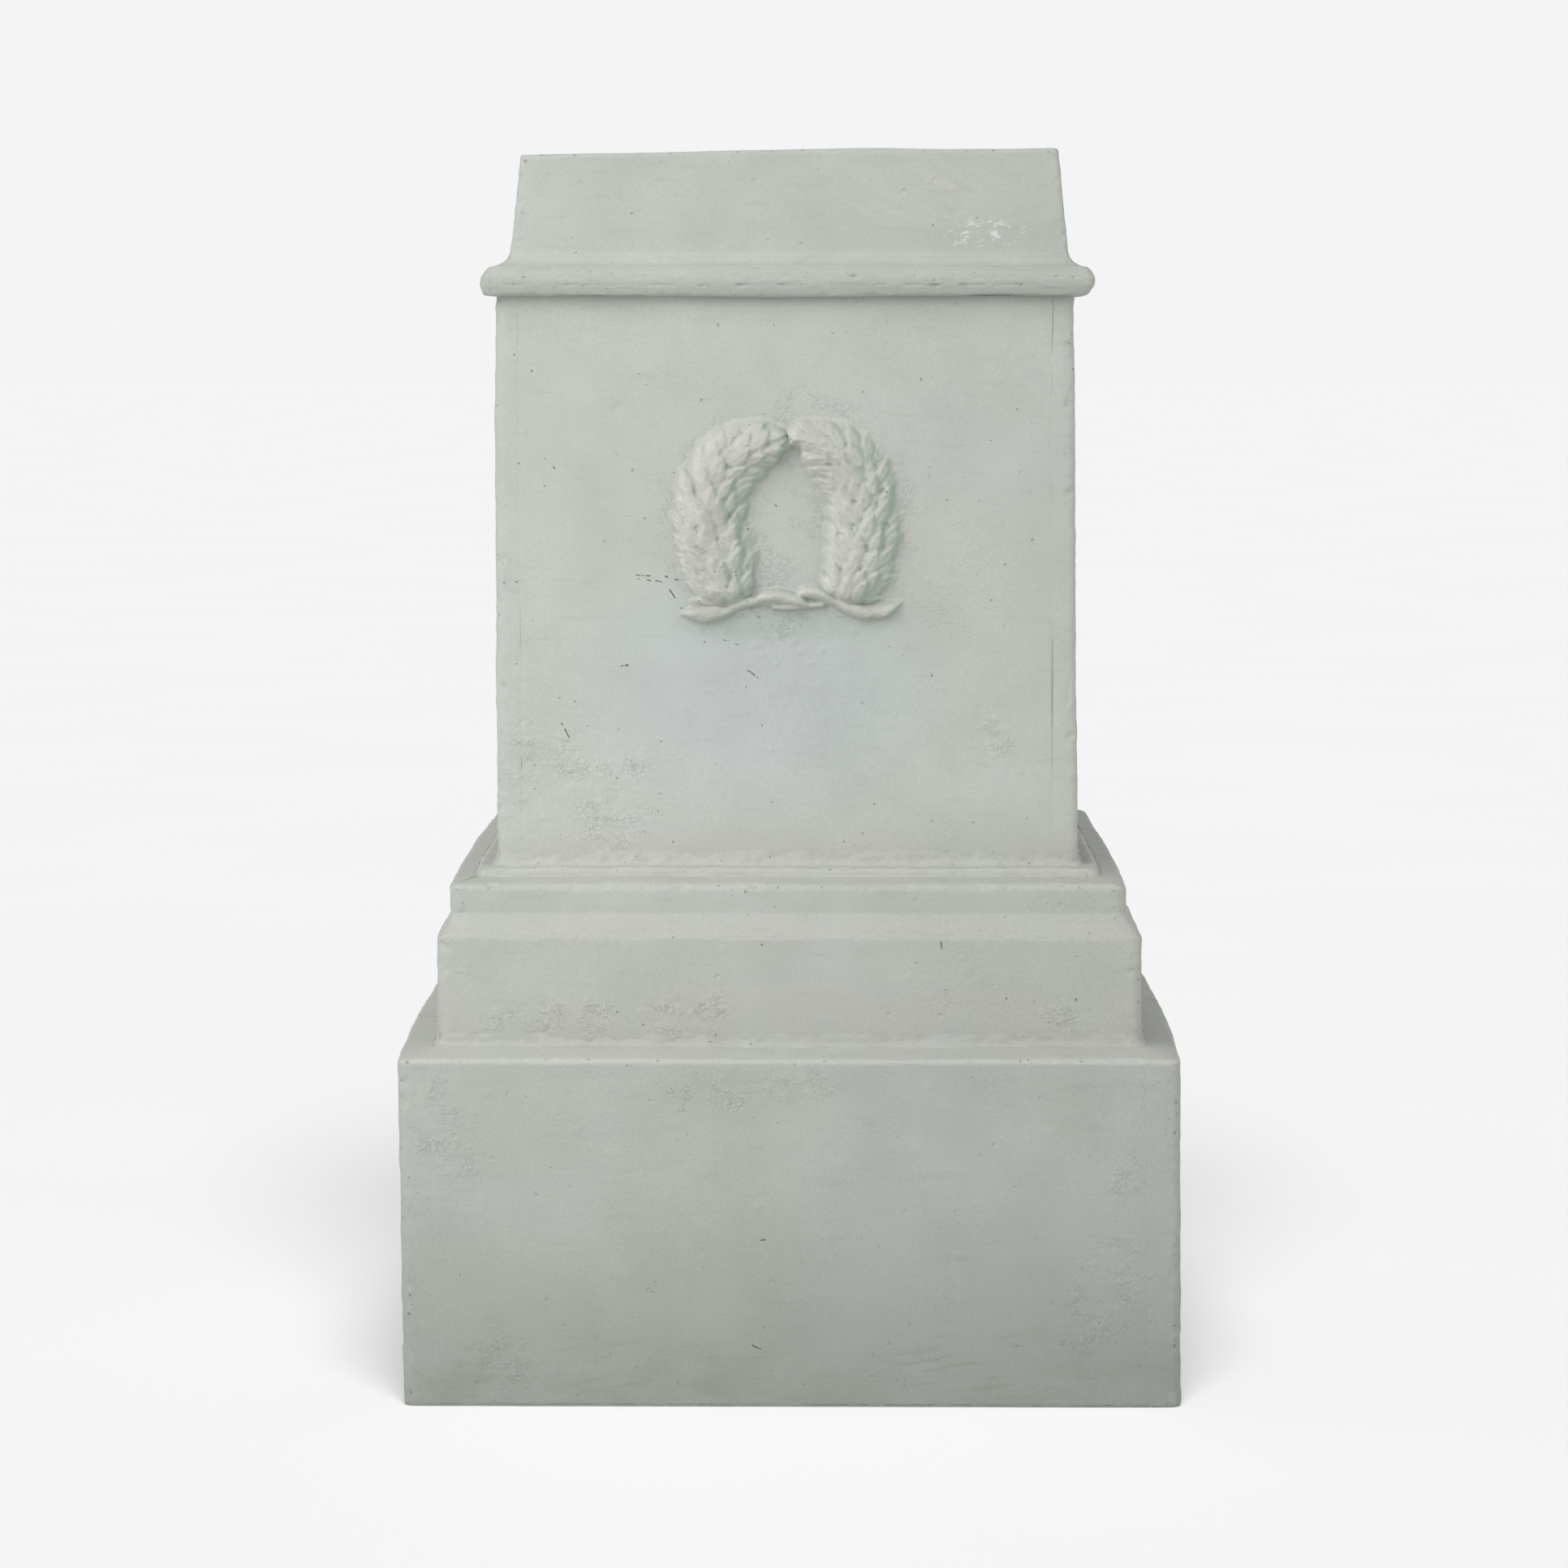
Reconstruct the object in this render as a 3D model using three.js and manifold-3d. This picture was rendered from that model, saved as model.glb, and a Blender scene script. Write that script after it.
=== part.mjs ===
// A square, stepped and moulded plaster pedestal for a vase, with a laurel wreath on its front face.
// It is hollow: plaster slabs and lengths of run moulding round a light timber core.
// Millimetres, +Z up. The origin is the middle of the footprint, and the front faces -Y.
//
// Every course of the pedestal is a square ring. Its section is drawn once as [half-width, height] points,
// swept round the four sides, and cut into four lengths that are either mitred or lapped at the corners.

import * as THREE from 'three';
import { mergeVertices } from 'three/addons/utils/BufferGeometryUtils.js';
import Module from 'manifold-3d';

const wasm = await Module();
wasm.setup();

// ---- Driving dimensions ----------------------------------------------------------------------------------

const GAP = 0.3; // the line of putty between two neighbouring pieces

// Base course: upright slabs with a sloped top that sheds water and dust.
const BASE_HALF = 200;
const BASE_ARRIS_Z = 179.8;
const BASE_WALL = 17;
const LEDGE_SLOPE = 0.254; // rise of the base's top per unit of depth

// Step course: a plain face, a cove, a fascia and a second sloped ledge.
const STEP_HALF = 181.1;
const STEP_ARRIS_Z = 240.4;
const STEP_WALL = 20;
const FASCIA_HALF = 173.9;
const FASCIA_FOOT_Z = 252.4;
const FASCIA_ARRIS_Z = 266.6;
const STEP_LEDGE_INNER_HALF = 162.8;
const STEP_TOP_Z = 269.3;

// Shaft: four slabs that lean in a little, with a bead round the foot.
const SHAFT_FOOT_HALF = 151;
const SHAFT_HEAD_HALF = 149.2;
const SHAFT_INNER_HALF = 137.5;
const BEAD_HALF = 161.8;
const BEAD_HEIGHT = 4;

// Bull-nose moulding on top of the shaft.
const NOSE_HALF = 157.8;
const NOSE_FOOT_Z = 568.5;
const NOSE_HEAD_Z = 583.6;
const NOSE_DEPTH = 7.6;
const NOSE_INNER_HALF = 112;

// Cap course: a hollow curve at the foot, then a face that leans in to the flat top.
const CAP_FOOT_HALF = 153.8;
const CAVETTO_RADIUS = 9.8;
const CAP_HEAD_HALF = 138.9;
const CAP_INNER_HALF = 126;
const TOP_Z = 644;
const TOP_SLAB_THICKNESS = 14;

// Putty smeared into the corners at the foot of the step and of the shaft.
const LOWER_PUTTY = { width: 6.5, height: 6.5 };
const UPPER_PUTTY = { width: 6, height: 7.5 };

// Timber core.
const BOARD_THICKNESS = 14;
const BASE_BATTEN = 35;
const STEP_BLOCK = 40;
const SHAFT_BATTEN = 28;
const CAP_BLOCK = 25;
const EASED_EDGE = 1.5; // small chamfer along a planed batten
const FLOOR_CLEARANCE = 3; // the base battens stop short of the floor, which the slabs stand on

// Wreath: two branches that curve up from a ribbon and meet at the top.
const WREATH_CENTRE_X = -0.8;
const WREATH_WIDEST_Z = 457;
const BRANCH_HALF_SPAN = 39.5;
const BRANCH_UPPER_RISE = 37.5;
const BRANCH_LOWER_DROP = 68;
const BRANCH_FOOT_ANGLE = 38; // degrees below the widest point
const BRANCH_TIP_ANGLE = 86; // degrees above the widest point
const ROLL = { halfWidth: 14, depth: 9.5 };
const LEAF_ROWS = [-70, -35, 0, 35, 70]; // degrees round the roll from its crown
const LEAVES_PER_ROW = 8;
const LEAF = { length: 17, width: 10, thickness: 6.4, tilt: 24 };
const RIBBON_TOP_Z = 415.8;
const RIBBON_RADIUS = 4.2;
const LEFT_END = { length: 24, height: 10, depth: 8 };
const RIGHT_END = { length: 20, height: 9, depth: 8 };
const LEFT_LOOP = { length: 25, height: 9.4, depth: 10 };
const RIGHT_LOOP = { length: 21, height: 8, depth: 9 };

const SIDES = ['front', 'right', 'back', 'left'];
const QUARTER_TURN = Math.PI / 2;

// ---- Materials -------------------------------------------------------------------------------------------

const paintedPlaster = new THREE.MeshStandardMaterial({ color: 0xbac2b9, roughness: 0.78, metalness: 0 });
const wreathPlaster = new THREE.MeshStandardMaterial({ color: 0xcfcbc2, roughness: 0.72, metalness: 0 });
const putty = new THREE.MeshStandardMaterial({ color: 0xc2c1b8, roughness: 0.85, metalness: 0 });
const timber = new THREE.MeshStandardMaterial({ color: 0xb7945f, roughness: 0.8, metalness: 0 });

// ---- Solids ----------------------------------------------------------------------------------------------

// A manifold solid from a closed three.js geometry.
function toSolid(geometry) {
  const plain = geometry.clone();
  plain.deleteAttribute('normal');
  plain.deleteAttribute('uv');
  const welded = mergeVertices(plain, 1e-4);
  const index = welded.index.array;
  const triangles = [];
  for (let i = 0; i < index.length; i += 3) {
    const [a, b, c] = [index[i], index[i + 1], index[i + 2]];
    if (a !== b && b !== c && c !== a) triangles.push(a, b, c);
  }
  const mesh = new wasm.Mesh({
    numProp: 3,
    vertProperties: new Float32Array(welded.attributes.position.array),
    triVerts: new Uint32Array(triangles),
  });
  return new wasm.Manifold(mesh);
}

// A three.js geometry from a manifold solid, with flat facets.
function toGeometry(solid) {
  const mesh = solid.getMesh();
  const geometry = new THREE.BufferGeometry();
  geometry.setAttribute('position', new THREE.BufferAttribute(new Float32Array(mesh.vertProperties), 3));
  geometry.setIndex(new THREE.BufferAttribute(new Uint32Array(mesh.triVerts), 1));
  geometry.computeVertexNormals();
  return geometry;
}

// A box between two corners.
function boxBetween(low, high) {
  const size = high.map((value, axis) => value - low[axis]);
  const geometry = new THREE.BoxGeometry(...size);
  geometry.translate(...low.map((value, axis) => value + size[axis] / 2));
  return geometry;
}

// A square ring swept from a section of [half-width, height] points, listed so that its outside comes
// after its foot. Four sides of a lathe make a square whose corners are further out than its faces.
function squareRing(section) {
  const closed = [...section, section[0]];
  const points = closed.map(([half, z]) => new THREE.Vector2(half * Math.SQRT2, z));
  const geometry = new THREE.LatheGeometry(points, 4, Math.PI / 4);
  geometry.rotateX(QUARTER_TURN);
  return toSolid(geometry);
}

// The wedge of space that holds the front length of a mitred ring.
function frontWedge() {
  const reach = BASE_HALF * 1.2;
  const back = -GAP / Math.SQRT2;
  const outline = new THREE.Shape();
  outline.moveTo(0, back);
  outline.lineTo(-reach, back - reach);
  outline.lineTo(reach, back - reach);
  outline.closePath();
  return toSolid(new THREE.ExtrudeGeometry(outline, { depth: TOP_Z + 1, bevelEnabled: false }));
}

// ---- Courses ---------------------------------------------------------------------------------------------

const pedestal = new THREE.Group();

function addPiece(name, geometry, material, turns = 0) {
  const mesh = new THREE.Mesh(geometry, material);
  mesh.name = name;
  mesh.rotation.z = turns * QUARTER_TURN;
  pedestal.add(mesh);
}

// Four equal lengths of a ring, mitred at the corners.
function addMitredCourse(nameOf, section, material) {
  const front = toGeometry(squareRing(section).intersect(frontWedge()));
  SIDES.forEach((side, turns) => addPiece(nameOf(side), front, material, turns));
}

// Four slabs of a ring. The left and right slabs run the full depth and cover the ends of the other two.
function addLappedCourse(nameOf, section, innerHalf, material) {
  const ring = squareRing(section);
  const reach = BASE_HALF * 1.2;
  const sideRoom = toSolid(boxBetween([innerHalf, -reach, -1], [reach, reach, TOP_Z]));
  const frontRoom = toSolid(boxBetween([GAP - innerHalf, -reach, -1], [innerHalf - GAP, 0, TOP_Z]));
  const slabs = {
    front: toGeometry(ring.intersect(frontRoom)),
    right: toGeometry(ring.intersect(sideRoom)),
  };
  addPiece(nameOf('front'), slabs.front, material);
  addPiece(nameOf('right'), slabs.right, material);
  addPiece(nameOf('back'), slabs.front, material, 2);
  addPiece(nameOf('left'), slabs.right, material, 2);
}

// Four equal battens with eased edges, standing in the corners inside a course.
function addCornerBattens(nameOf, width, outerHalf, footZ, headZ) {
  const half = width / 2;
  const flat = half - EASED_EDGE;
  const outline = new THREE.Shape();
  outline.moveTo(-flat, -half);
  outline.lineTo(flat, -half);
  outline.lineTo(half, -flat);
  outline.lineTo(half, flat);
  outline.lineTo(flat, half);
  outline.lineTo(-flat, half);
  outline.lineTo(-half, flat);
  outline.lineTo(-half, -flat);
  outline.closePath();
  const batten = new THREE.ExtrudeGeometry(outline, { depth: headZ - footZ, bevelEnabled: false });
  const place = outerHalf - half;
  for (const [corner, x, y] of [
    ['front_left', -place, -place],
    ['front_right', place, -place],
    ['back_right', place, place],
    ['back_left', -place, place],
  ]) {
    const mesh = new THREE.Mesh(batten, timber);
    mesh.name = nameOf(corner);
    mesh.position.set(x, y, footZ);
    pedestal.add(mesh);
  }
}

// A square board lying flat.
function addBoard(name, half, headZ, thickness, material) {
  const geometry = new THREE.BoxGeometry(2 * half, 2 * half, thickness);
  const mesh = new THREE.Mesh(geometry, material);
  mesh.name = name;
  mesh.position.z = headZ - thickness / 2;
  pedestal.add(mesh);
}

// Points along a quarter or half of an ellipse, from one angle to another, in degrees.
function arc(centreHalf, centreZ, radiusHalf, radiusZ, fromAngle, toAngle, steps) {
  return Array.from({ length: steps + 1 }, (_, i) => {
    const angle = THREE.MathUtils.degToRad(THREE.MathUtils.lerp(fromAngle, toAngle, i / steps));
    return [centreHalf + radiusHalf * Math.cos(angle), centreZ + radiusZ * Math.sin(angle)];
  });
}

// A concave fillet of putty that fills the corner between a wall and what it stands on.
function puttySection(wallHalf, footZ, { width, height }) {
  const curve = arc(wallHalf + width, footZ + height, width * 0.92, height * 0.92, 270, 180, 4);
  return [[wallHalf, footZ], [wallHalf + width, footZ], ...curve, [wallHalf, footZ + height]];
}

function addBaseCourse() {
  const innerHalf = BASE_HALF - BASE_WALL;
  const innerZ = BASE_ARRIS_Z + BASE_WALL * LEDGE_SLOPE;
  const section = [[innerHalf, 0], [BASE_HALF, 0], [BASE_HALF, BASE_ARRIS_Z], [innerHalf, innerZ]];
  addLappedCourse((side) => `base_${side}_slab`, section, innerHalf, paintedPlaster);
  const boardFootZ = innerZ - BOARD_THICKNESS;
  addBoard('base_deck', innerHalf - GAP, innerZ, BOARD_THICKNESS, timber);
  addCornerBattens((corner) => `base_batten_${corner}`, BASE_BATTEN, innerHalf - GAP,
    FLOOR_CLEARANCE, boardFootZ - GAP);
  return innerZ + GAP;
}

function addStepCourse(footZ) {
  const innerHalf = STEP_HALF - STEP_WALL;
  const coveDepth = STEP_HALF - FASCIA_HALF;
  const coveHeight = FASCIA_FOOT_Z - STEP_ARRIS_Z;
  const section = [
    [innerHalf, footZ],
    [STEP_HALF, footZ],
    ...arc(STEP_HALF, FASCIA_FOOT_Z, coveDepth, coveHeight, 270, 180, 6),
    [FASCIA_HALF, FASCIA_ARRIS_Z],
    [STEP_LEDGE_INNER_HALF, STEP_TOP_Z],
    [innerHalf, STEP_TOP_Z],
  ];
  addMitredCourse((side) => `step_${side}_casting`, section, paintedPlaster);
  addBoard('step_deck', innerHalf - GAP, STEP_TOP_Z, BOARD_THICKNESS, timber);
  addCornerBattens((corner) => `step_block_${corner}`, STEP_BLOCK, innerHalf - GAP,
    footZ, STEP_TOP_Z - BOARD_THICKNESS - GAP);

  // The putty lies on the base's ledge, which falls away from the wall.
  const wallHalf = STEP_HALF + GAP;
  const ledgeZ = (half) => BASE_ARRIS_Z + (BASE_HALF - half) * LEDGE_SLOPE + GAP;
  const lip = LOWER_PUTTY.width;
  const puttyRing = puttySection(wallHalf, ledgeZ(wallHalf + lip), LOWER_PUTTY);
  puttyRing[0] = [wallHalf, Math.max(ledgeZ(wallHalf), footZ)];
  addMitredCourse((side) => `lower_putty_${side}`, puttyRing, putty);
}

function addShaft() {
  const footZ = STEP_TOP_Z + GAP;
  const headZ = NOSE_FOOT_Z - GAP;
  const section = [
    [SHAFT_INNER_HALF, footZ],
    [SHAFT_FOOT_HALF, footZ],
    [SHAFT_HEAD_HALF, headZ],
    [SHAFT_INNER_HALF, headZ],
  ];
  addLappedCourse((side) => `shaft_${side}_slab`, section, SHAFT_INNER_HALF, paintedPlaster);
  addCornerBattens((corner) => `shaft_batten_${corner}`, SHAFT_BATTEN, SHAFT_INNER_HALF - GAP, footZ, headZ);

  const wallHalf = SHAFT_FOOT_HALF + GAP;
  const beadRadius = BEAD_HEIGHT / 2;
  const beadSection = [
    [wallHalf, footZ],
    ...arc(BEAD_HALF - beadRadius, footZ + beadRadius, beadRadius, beadRadius, -90, 90, 6),
    [wallHalf, footZ + BEAD_HEIGHT],
  ];
  addMitredCourse((side) => `foot_bead_${side}`, beadSection, paintedPlaster);
  const puttyFootZ = footZ + BEAD_HEIGHT + GAP;
  addMitredCourse((side) => `upper_putty_${side}`, puttySection(wallHalf, puttyFootZ, UPPER_PUTTY), putty);
}

function addBullNose() {
  const middleZ = (NOSE_FOOT_Z + NOSE_HEAD_Z) / 2;
  const section = [
    [NOSE_INNER_HALF, NOSE_FOOT_Z],
    ...arc(NOSE_HALF - NOSE_DEPTH, middleZ, NOSE_DEPTH, middleZ - NOSE_FOOT_Z, -90, 90, 10),
    [NOSE_INNER_HALF, NOSE_HEAD_Z],
  ];
  addMitredCourse((side) => `bull_nose_${side}`, section, paintedPlaster);
}

function addCapCourse() {
  const footZ = NOSE_HEAD_Z + GAP;
  const section = [
    [CAP_INNER_HALF, footZ],
    ...arc(CAP_FOOT_HALF, footZ + CAVETTO_RADIUS, CAVETTO_RADIUS, CAVETTO_RADIUS, 270, 180, 6),
    [CAP_HEAD_HALF, TOP_Z],
    [CAP_INNER_HALF, TOP_Z],
  ];
  addMitredCourse((side) => `cap_${side}_casting`, section, paintedPlaster);
  addBoard('top_slab', CAP_INNER_HALF - GAP, TOP_Z, TOP_SLAB_THICKNESS, paintedPlaster);
  addCornerBattens((corner) => `cap_block_${corner}`, CAP_BLOCK, CAP_INNER_HALF - GAP,
    footZ, TOP_Z - TOP_SLAB_THICKNESS - GAP);
}

// ---- Wreath ----------------------------------------------------------------------------------------------

// Half-width of the leaning shaft at a height.
function shaftHalfAt(z) {
  const share = (z - STEP_TOP_Z - GAP) / (NOSE_FOOT_Z - STEP_TOP_Z - 2 * GAP);
  return THREE.MathUtils.lerp(SHAFT_FOOT_HALF, SHAFT_HEAD_HALF, share);
}

// All the space from the shaft's middle to a gap in front of its face, which no part of the wreath enters.
function shaftRoom() {
  const lowZ = STEP_TOP_Z + GAP;
  const highZ = NOSE_FOOT_Z - GAP;
  const points = [
    new THREE.Vector2(0, lowZ),
    new THREE.Vector2((shaftHalfAt(lowZ) + GAP) * Math.SQRT2, lowZ),
    new THREE.Vector2((shaftHalfAt(highZ) + GAP) * Math.SQRT2, highZ),
    new THREE.Vector2(0, highZ),
  ];
  const geometry = new THREE.LatheGeometry(points, 4, Math.PI / 4);
  geometry.rotateX(QUARTER_TURN);
  return toSolid(geometry);
}

// The middle line of a branch, from its foot at share 0 to its tip at share 1. side is -1 left, +1 right.
class BranchLine extends THREE.Curve {
  constructor(side) {
    super();
    this.side = side;
  }

  getPoint(share, target = new THREE.Vector3()) {
    const degrees = THREE.MathUtils.lerp(-BRANCH_FOOT_ANGLE, BRANCH_TIP_ANGLE, share);
    const angle = THREE.MathUtils.degToRad(degrees);
    const rise = angle < 0 ? BRANCH_LOWER_DROP : BRANCH_UPPER_RISE;
    const z = WREATH_WIDEST_Z + rise * Math.sin(angle);
    return target.set(
      WREATH_CENTRE_X + this.side * BRANCH_HALF_SPAN * Math.cos(angle),
      -shaftHalfAt(z),
      z,
    );
  }
}

// Directions at a share of a branch: along it, away from the shaft, and across it.
function branchFrame(line, share) {
  const along = line.getTangent(share);
  const outward = new THREE.Vector3(0, -1, 0).addScaledVector(along, along.y).normalize();
  const across = new THREE.Vector3().crossVectors(outward, along);
  return { along, outward, across };
}

// A branch is slim at the foot, full at its widest and slim again at the tip.
function girth(share) {
  return Math.sqrt(Math.sin(Math.PI * (0.2 + 0.72 * share)));
}

// The branch's core: a straight, oval bar bent along the line, with its girth.
function rollSolid(line) {
  const section = new THREE.Shape().absellipse(0, 0, ROLL.halfWidth, ROLL.depth, 0, 2 * Math.PI);
  const geometry = new THREE.ExtrudeGeometry(section, {
    depth: 1, steps: 20, curveSegments: 5, bevelEnabled: false,
  });
  const position = geometry.attributes.position;
  for (let i = 0; i < position.count; i += 1) {
    const share = position.getZ(i);
    const { outward, across } = branchFrame(line, share);
    const point = line.getPoint(share)
      .addScaledVector(across, position.getX(i) * girth(share))
      .addScaledVector(outward, position.getY(i) * girth(share));
    position.setXYZ(i, point.x, point.y, point.z);
  }
  return toSolid(geometry);
}

// One leaf: a flattened body whose tip leads and turns out, resting on the roll at an angle round it.
function leafSolid(line, share, rowDegrees) {
  const { along, outward, across } = branchFrame(line, share);
  const row = THREE.MathUtils.degToRad(rowDegrees);
  const size = girth(share);
  const centre = line.getPoint(share)
    .addScaledVector(across, ROLL.halfWidth * size * Math.sin(row))
    .addScaledVector(outward, ROLL.depth * size * Math.cos(row));
  const radial = outward.clone().multiplyScalar(Math.cos(row)).addScaledVector(across, Math.sin(row));
  const sideways = new THREE.Vector3().crossVectors(along, radial);
  const tilt = THREE.MathUtils.degToRad(LEAF.tilt) * Math.sign(rowDegrees);
  const lengthAxis = along.clone().multiplyScalar(Math.cos(tilt)).addScaledVector(sideways, -Math.sin(tilt));
  const widthAxis = new THREE.Vector3().crossVectors(lengthAxis, radial);
  const geometry = new THREE.SphereGeometry(0.5, 6, 4);
  geometry.scale(LEAF.width * size, LEAF.length * size, LEAF.thickness * size);
  geometry.applyMatrix4(new THREE.Matrix4().makeBasis(widthAxis, lengthAxis, radial));
  geometry.translate(centre.x, centre.y, centre.z);
  return toSolid(geometry);
}

// A branch: a half-oval roll with rows of leaves, the rows staggered like scales.
function branchGeometry(side) {
  const line = new BranchLine(side);
  let branch = rollSolid(line);
  LEAF_ROWS.forEach((rowDegrees, row) => {
    for (let i = 0; i < LEAVES_PER_ROW; i += 1) {
      const share = 0.05 + (0.9 * (i + 0.5 * (row % 2))) / LEAVES_PER_ROW;
      branch = branch.add(leafSolid(line, share, rowDegrees));
    }
  });
  const reach = 80;
  const inner = WREATH_CENTRE_X + side * (GAP / 2);
  const outer = WREATH_CENTRE_X + side * reach;
  const room = boxBetween(
    [Math.min(inner, outer), -SHAFT_FOOT_HALF - reach, RIBBON_TOP_Z + GAP],
    [Math.max(inner, outer), -SHAFT_HEAD_HALF + reach, WREATH_WIDEST_Z + reach],
  );
  return toGeometry(branch.intersect(toSolid(room)).subtract(shaftRoom()));
}

// A flattened round body with its middle at a point of the shaft's face.
function lobe(x, z, { length, height, depth }, degrees) {
  const geometry = new THREE.SphereGeometry(0.5, 12, 8);
  geometry.scale(length, depth * 2, height);
  geometry.rotateY(THREE.MathUtils.degToRad(degrees));
  geometry.translate(x, -shaftHalfAt(z), z);
  return toSolid(geometry);
}

// The ribbon: a wavy stem with a leaf-shaped end on each side and two raised loops in the middle.
function ribbonGeometry() {
  const middle = (x, z) => new THREE.Vector3(x, -shaftHalfAt(z), z);
  const line = new THREE.CatmullRomCurve3([
    middle(-46, 402), middle(-36, 403), middle(-26, 409), middle(-12, 410), middle(2, 409),
    middle(16, 410), middle(28, 406), middle(40, 403), middle(48, 404),
  ]);
  const section = new THREE.Shape().absellipse(0, 0, RIBBON_RADIUS, RIBBON_RADIUS, 0, 2 * Math.PI);
  const stem = new THREE.ExtrudeGeometry(section, { steps: 24, curveSegments: 5, extrudePath: line });
  const ribbon = toSolid(stem)
    .add(lobe(-45, 402.5, LEFT_END, -6))
    .add(lobe(49, 404.5, RIGHT_END, -16))
    .add(lobe(-5, 410.8, LEFT_LOOP, 10))
    .add(lobe(15.5, 411, RIGHT_LOOP, 8));
  const room = boxBetween([-80, -SHAFT_FOOT_HALF - 80, RIBBON_TOP_Z - 40], [80, 0, RIBBON_TOP_Z]);
  return toGeometry(ribbon.intersect(toSolid(room)).subtract(shaftRoom()));
}

function addWreath() {
  addPiece('wreath_left_branch', branchGeometry(-1), wreathPlaster);
  addPiece('wreath_right_branch', branchGeometry(1), wreathPlaster);
  addPiece('wreath_ribbon', ribbonGeometry(), wreathPlaster);
}

const stepFootZ = addBaseCourse();
addStepCourse(stepFootZ);
addShaft();
addBullNose();
addCapCourse();
addWreath();

export default pedestal;
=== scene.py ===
"""Looks of the plaster pedestal: hand-finished slabs and mouldings, a cast laurel wreath, and old distemper.

Blender's space is in metres. The shapes below are worked out in millimetres and scaled as each mesh is made.
The front faces -Y. Every course of the pedestal is a square ring: its profile is swept round the sides, and
the surface is then pushed in and out by noise that depends only on the place, so neighbouring pieces match.
"""

import itertools
import math

import bpy
import numpy as np
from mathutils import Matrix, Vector


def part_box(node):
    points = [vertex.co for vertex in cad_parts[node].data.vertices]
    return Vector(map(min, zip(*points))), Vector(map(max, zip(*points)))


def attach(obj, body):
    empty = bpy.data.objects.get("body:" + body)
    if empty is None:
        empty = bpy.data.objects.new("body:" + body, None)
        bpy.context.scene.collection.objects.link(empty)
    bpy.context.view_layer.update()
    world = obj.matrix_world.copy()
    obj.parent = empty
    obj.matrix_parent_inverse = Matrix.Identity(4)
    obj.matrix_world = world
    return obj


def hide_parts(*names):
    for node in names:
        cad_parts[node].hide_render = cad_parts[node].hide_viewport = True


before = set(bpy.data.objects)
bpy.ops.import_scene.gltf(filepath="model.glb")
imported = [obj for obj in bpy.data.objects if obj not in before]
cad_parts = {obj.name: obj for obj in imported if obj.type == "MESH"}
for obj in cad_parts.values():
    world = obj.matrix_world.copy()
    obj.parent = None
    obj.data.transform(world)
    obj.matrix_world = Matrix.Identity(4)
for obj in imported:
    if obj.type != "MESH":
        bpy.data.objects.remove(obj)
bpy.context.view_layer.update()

MM = 0.001
SIDES = ("front", "right", "back", "left")


def box(node):
    """Lowest and highest corner of a CAD node in millimetres."""
    return np.array(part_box(node)) / MM


# ---- Sizes, in millimetres, from the CAD nodes ----

(BASE_INNER, _, _), (BASE_HALF, _, BASE_LEDGE_Z) = box("base_right_slab")
(STEP_INNER, _, STEP_FOOT_Z), (STEP_HALF, _, STEP_TOP_Z) = box("step_right_casting")
(BEAD_INNER, _, _), (BEAD_HALF, _, BEAD_TOP_Z) = box("foot_bead_right")
(SHAFT_INNER, _, SHAFT_FOOT_Z), (SHAFT_FOOT_HALF, _, SHAFT_HEAD_Z) = box("shaft_right_slab")
(NOSE_INNER, _, NOSE_FOOT_Z), (NOSE_HALF, _, NOSE_HEAD_Z) = box("bull_nose_right")
(CAP_INNER, _, CAP_FOOT_Z), (CAP_FOOT_HALF, _, TOP_Z) = box("cap_right_casting")
BASE_ARRIS_Z = BASE_LEDGE_Z - 4.3
STEP_ARRIS_Z = STEP_TOP_Z - 28.9
FASCIA_HALF = STEP_HALF - 7.2
FASCIA_FOOT_Z = STEP_TOP_Z - 19.6
FASCIA_ARRIS_Z = STEP_TOP_Z - 2.7
SHAFT_HEAD_HALF = SHAFT_FOOT_HALF - 1.8
CAP_HEAD_HALF = CAP_FOOT_HALF - 14.9
CAVETTO = 9.8

# Distance between neighbouring points of the surfaces.
FRONT_STEP = 1.2
OTHER_STEP = 1.8
WREATH_STEP = 0.4


# ---- Noise ----

DIRECTIONS = np.random.default_rng(1811).normal(size=(256, 3))
GRADIENTS = (DIRECTIONS / np.linalg.norm(DIRECTIONS, axis=1)[:, None]).astype(np.float32)


def scrambled(cell, seed):
    """A random-looking whole number for every lattice cell."""
    x, y, z = (cell[:, i].astype(np.uint32) for i in range(3))
    mixed = x * np.uint32(374761393) + y * np.uint32(668265263) + z * np.uint32(2246822519)
    mixed += np.uint32((seed * 3266489917) & 0xFFFFFFFF)
    mixed = (mixed ^ (mixed >> np.uint32(13))) * np.uint32(1274126177)
    return mixed ^ (mixed >> np.uint32(16))


def noise(points, wavelength, seed, stretch=(1, 1, 1)):
    """Smooth gradient noise between about -1 and 1 at points in millimetres."""
    place = (points / (np.array(stretch) * wavelength)).astype(np.float32)
    cell = np.floor(place)
    inside = place - cell
    fade = inside * inside * inside * (inside * (inside * 6 - 15) + 10)
    cell = cell.astype(np.int64)
    total = np.zeros(len(place), np.float32)
    for corner in itertools.product((0, 1), repeat=3):
        picked = np.array(corner)
        gradient = GRADIENTS[scrambled(cell + picked, seed) & np.uint32(255)]
        weight = np.prod(np.where(picked, fade, 1 - fade), axis=1)
        total += weight * ((inside - picked) * gradient).sum(axis=1)
    return total * 1.7


def smoothstep(value, start, end):
    share = np.clip((value - start) / (end - start), 0, 1)
    return share * share * (3 - 2 * share)


# ---- The hand-made surface ----

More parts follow.
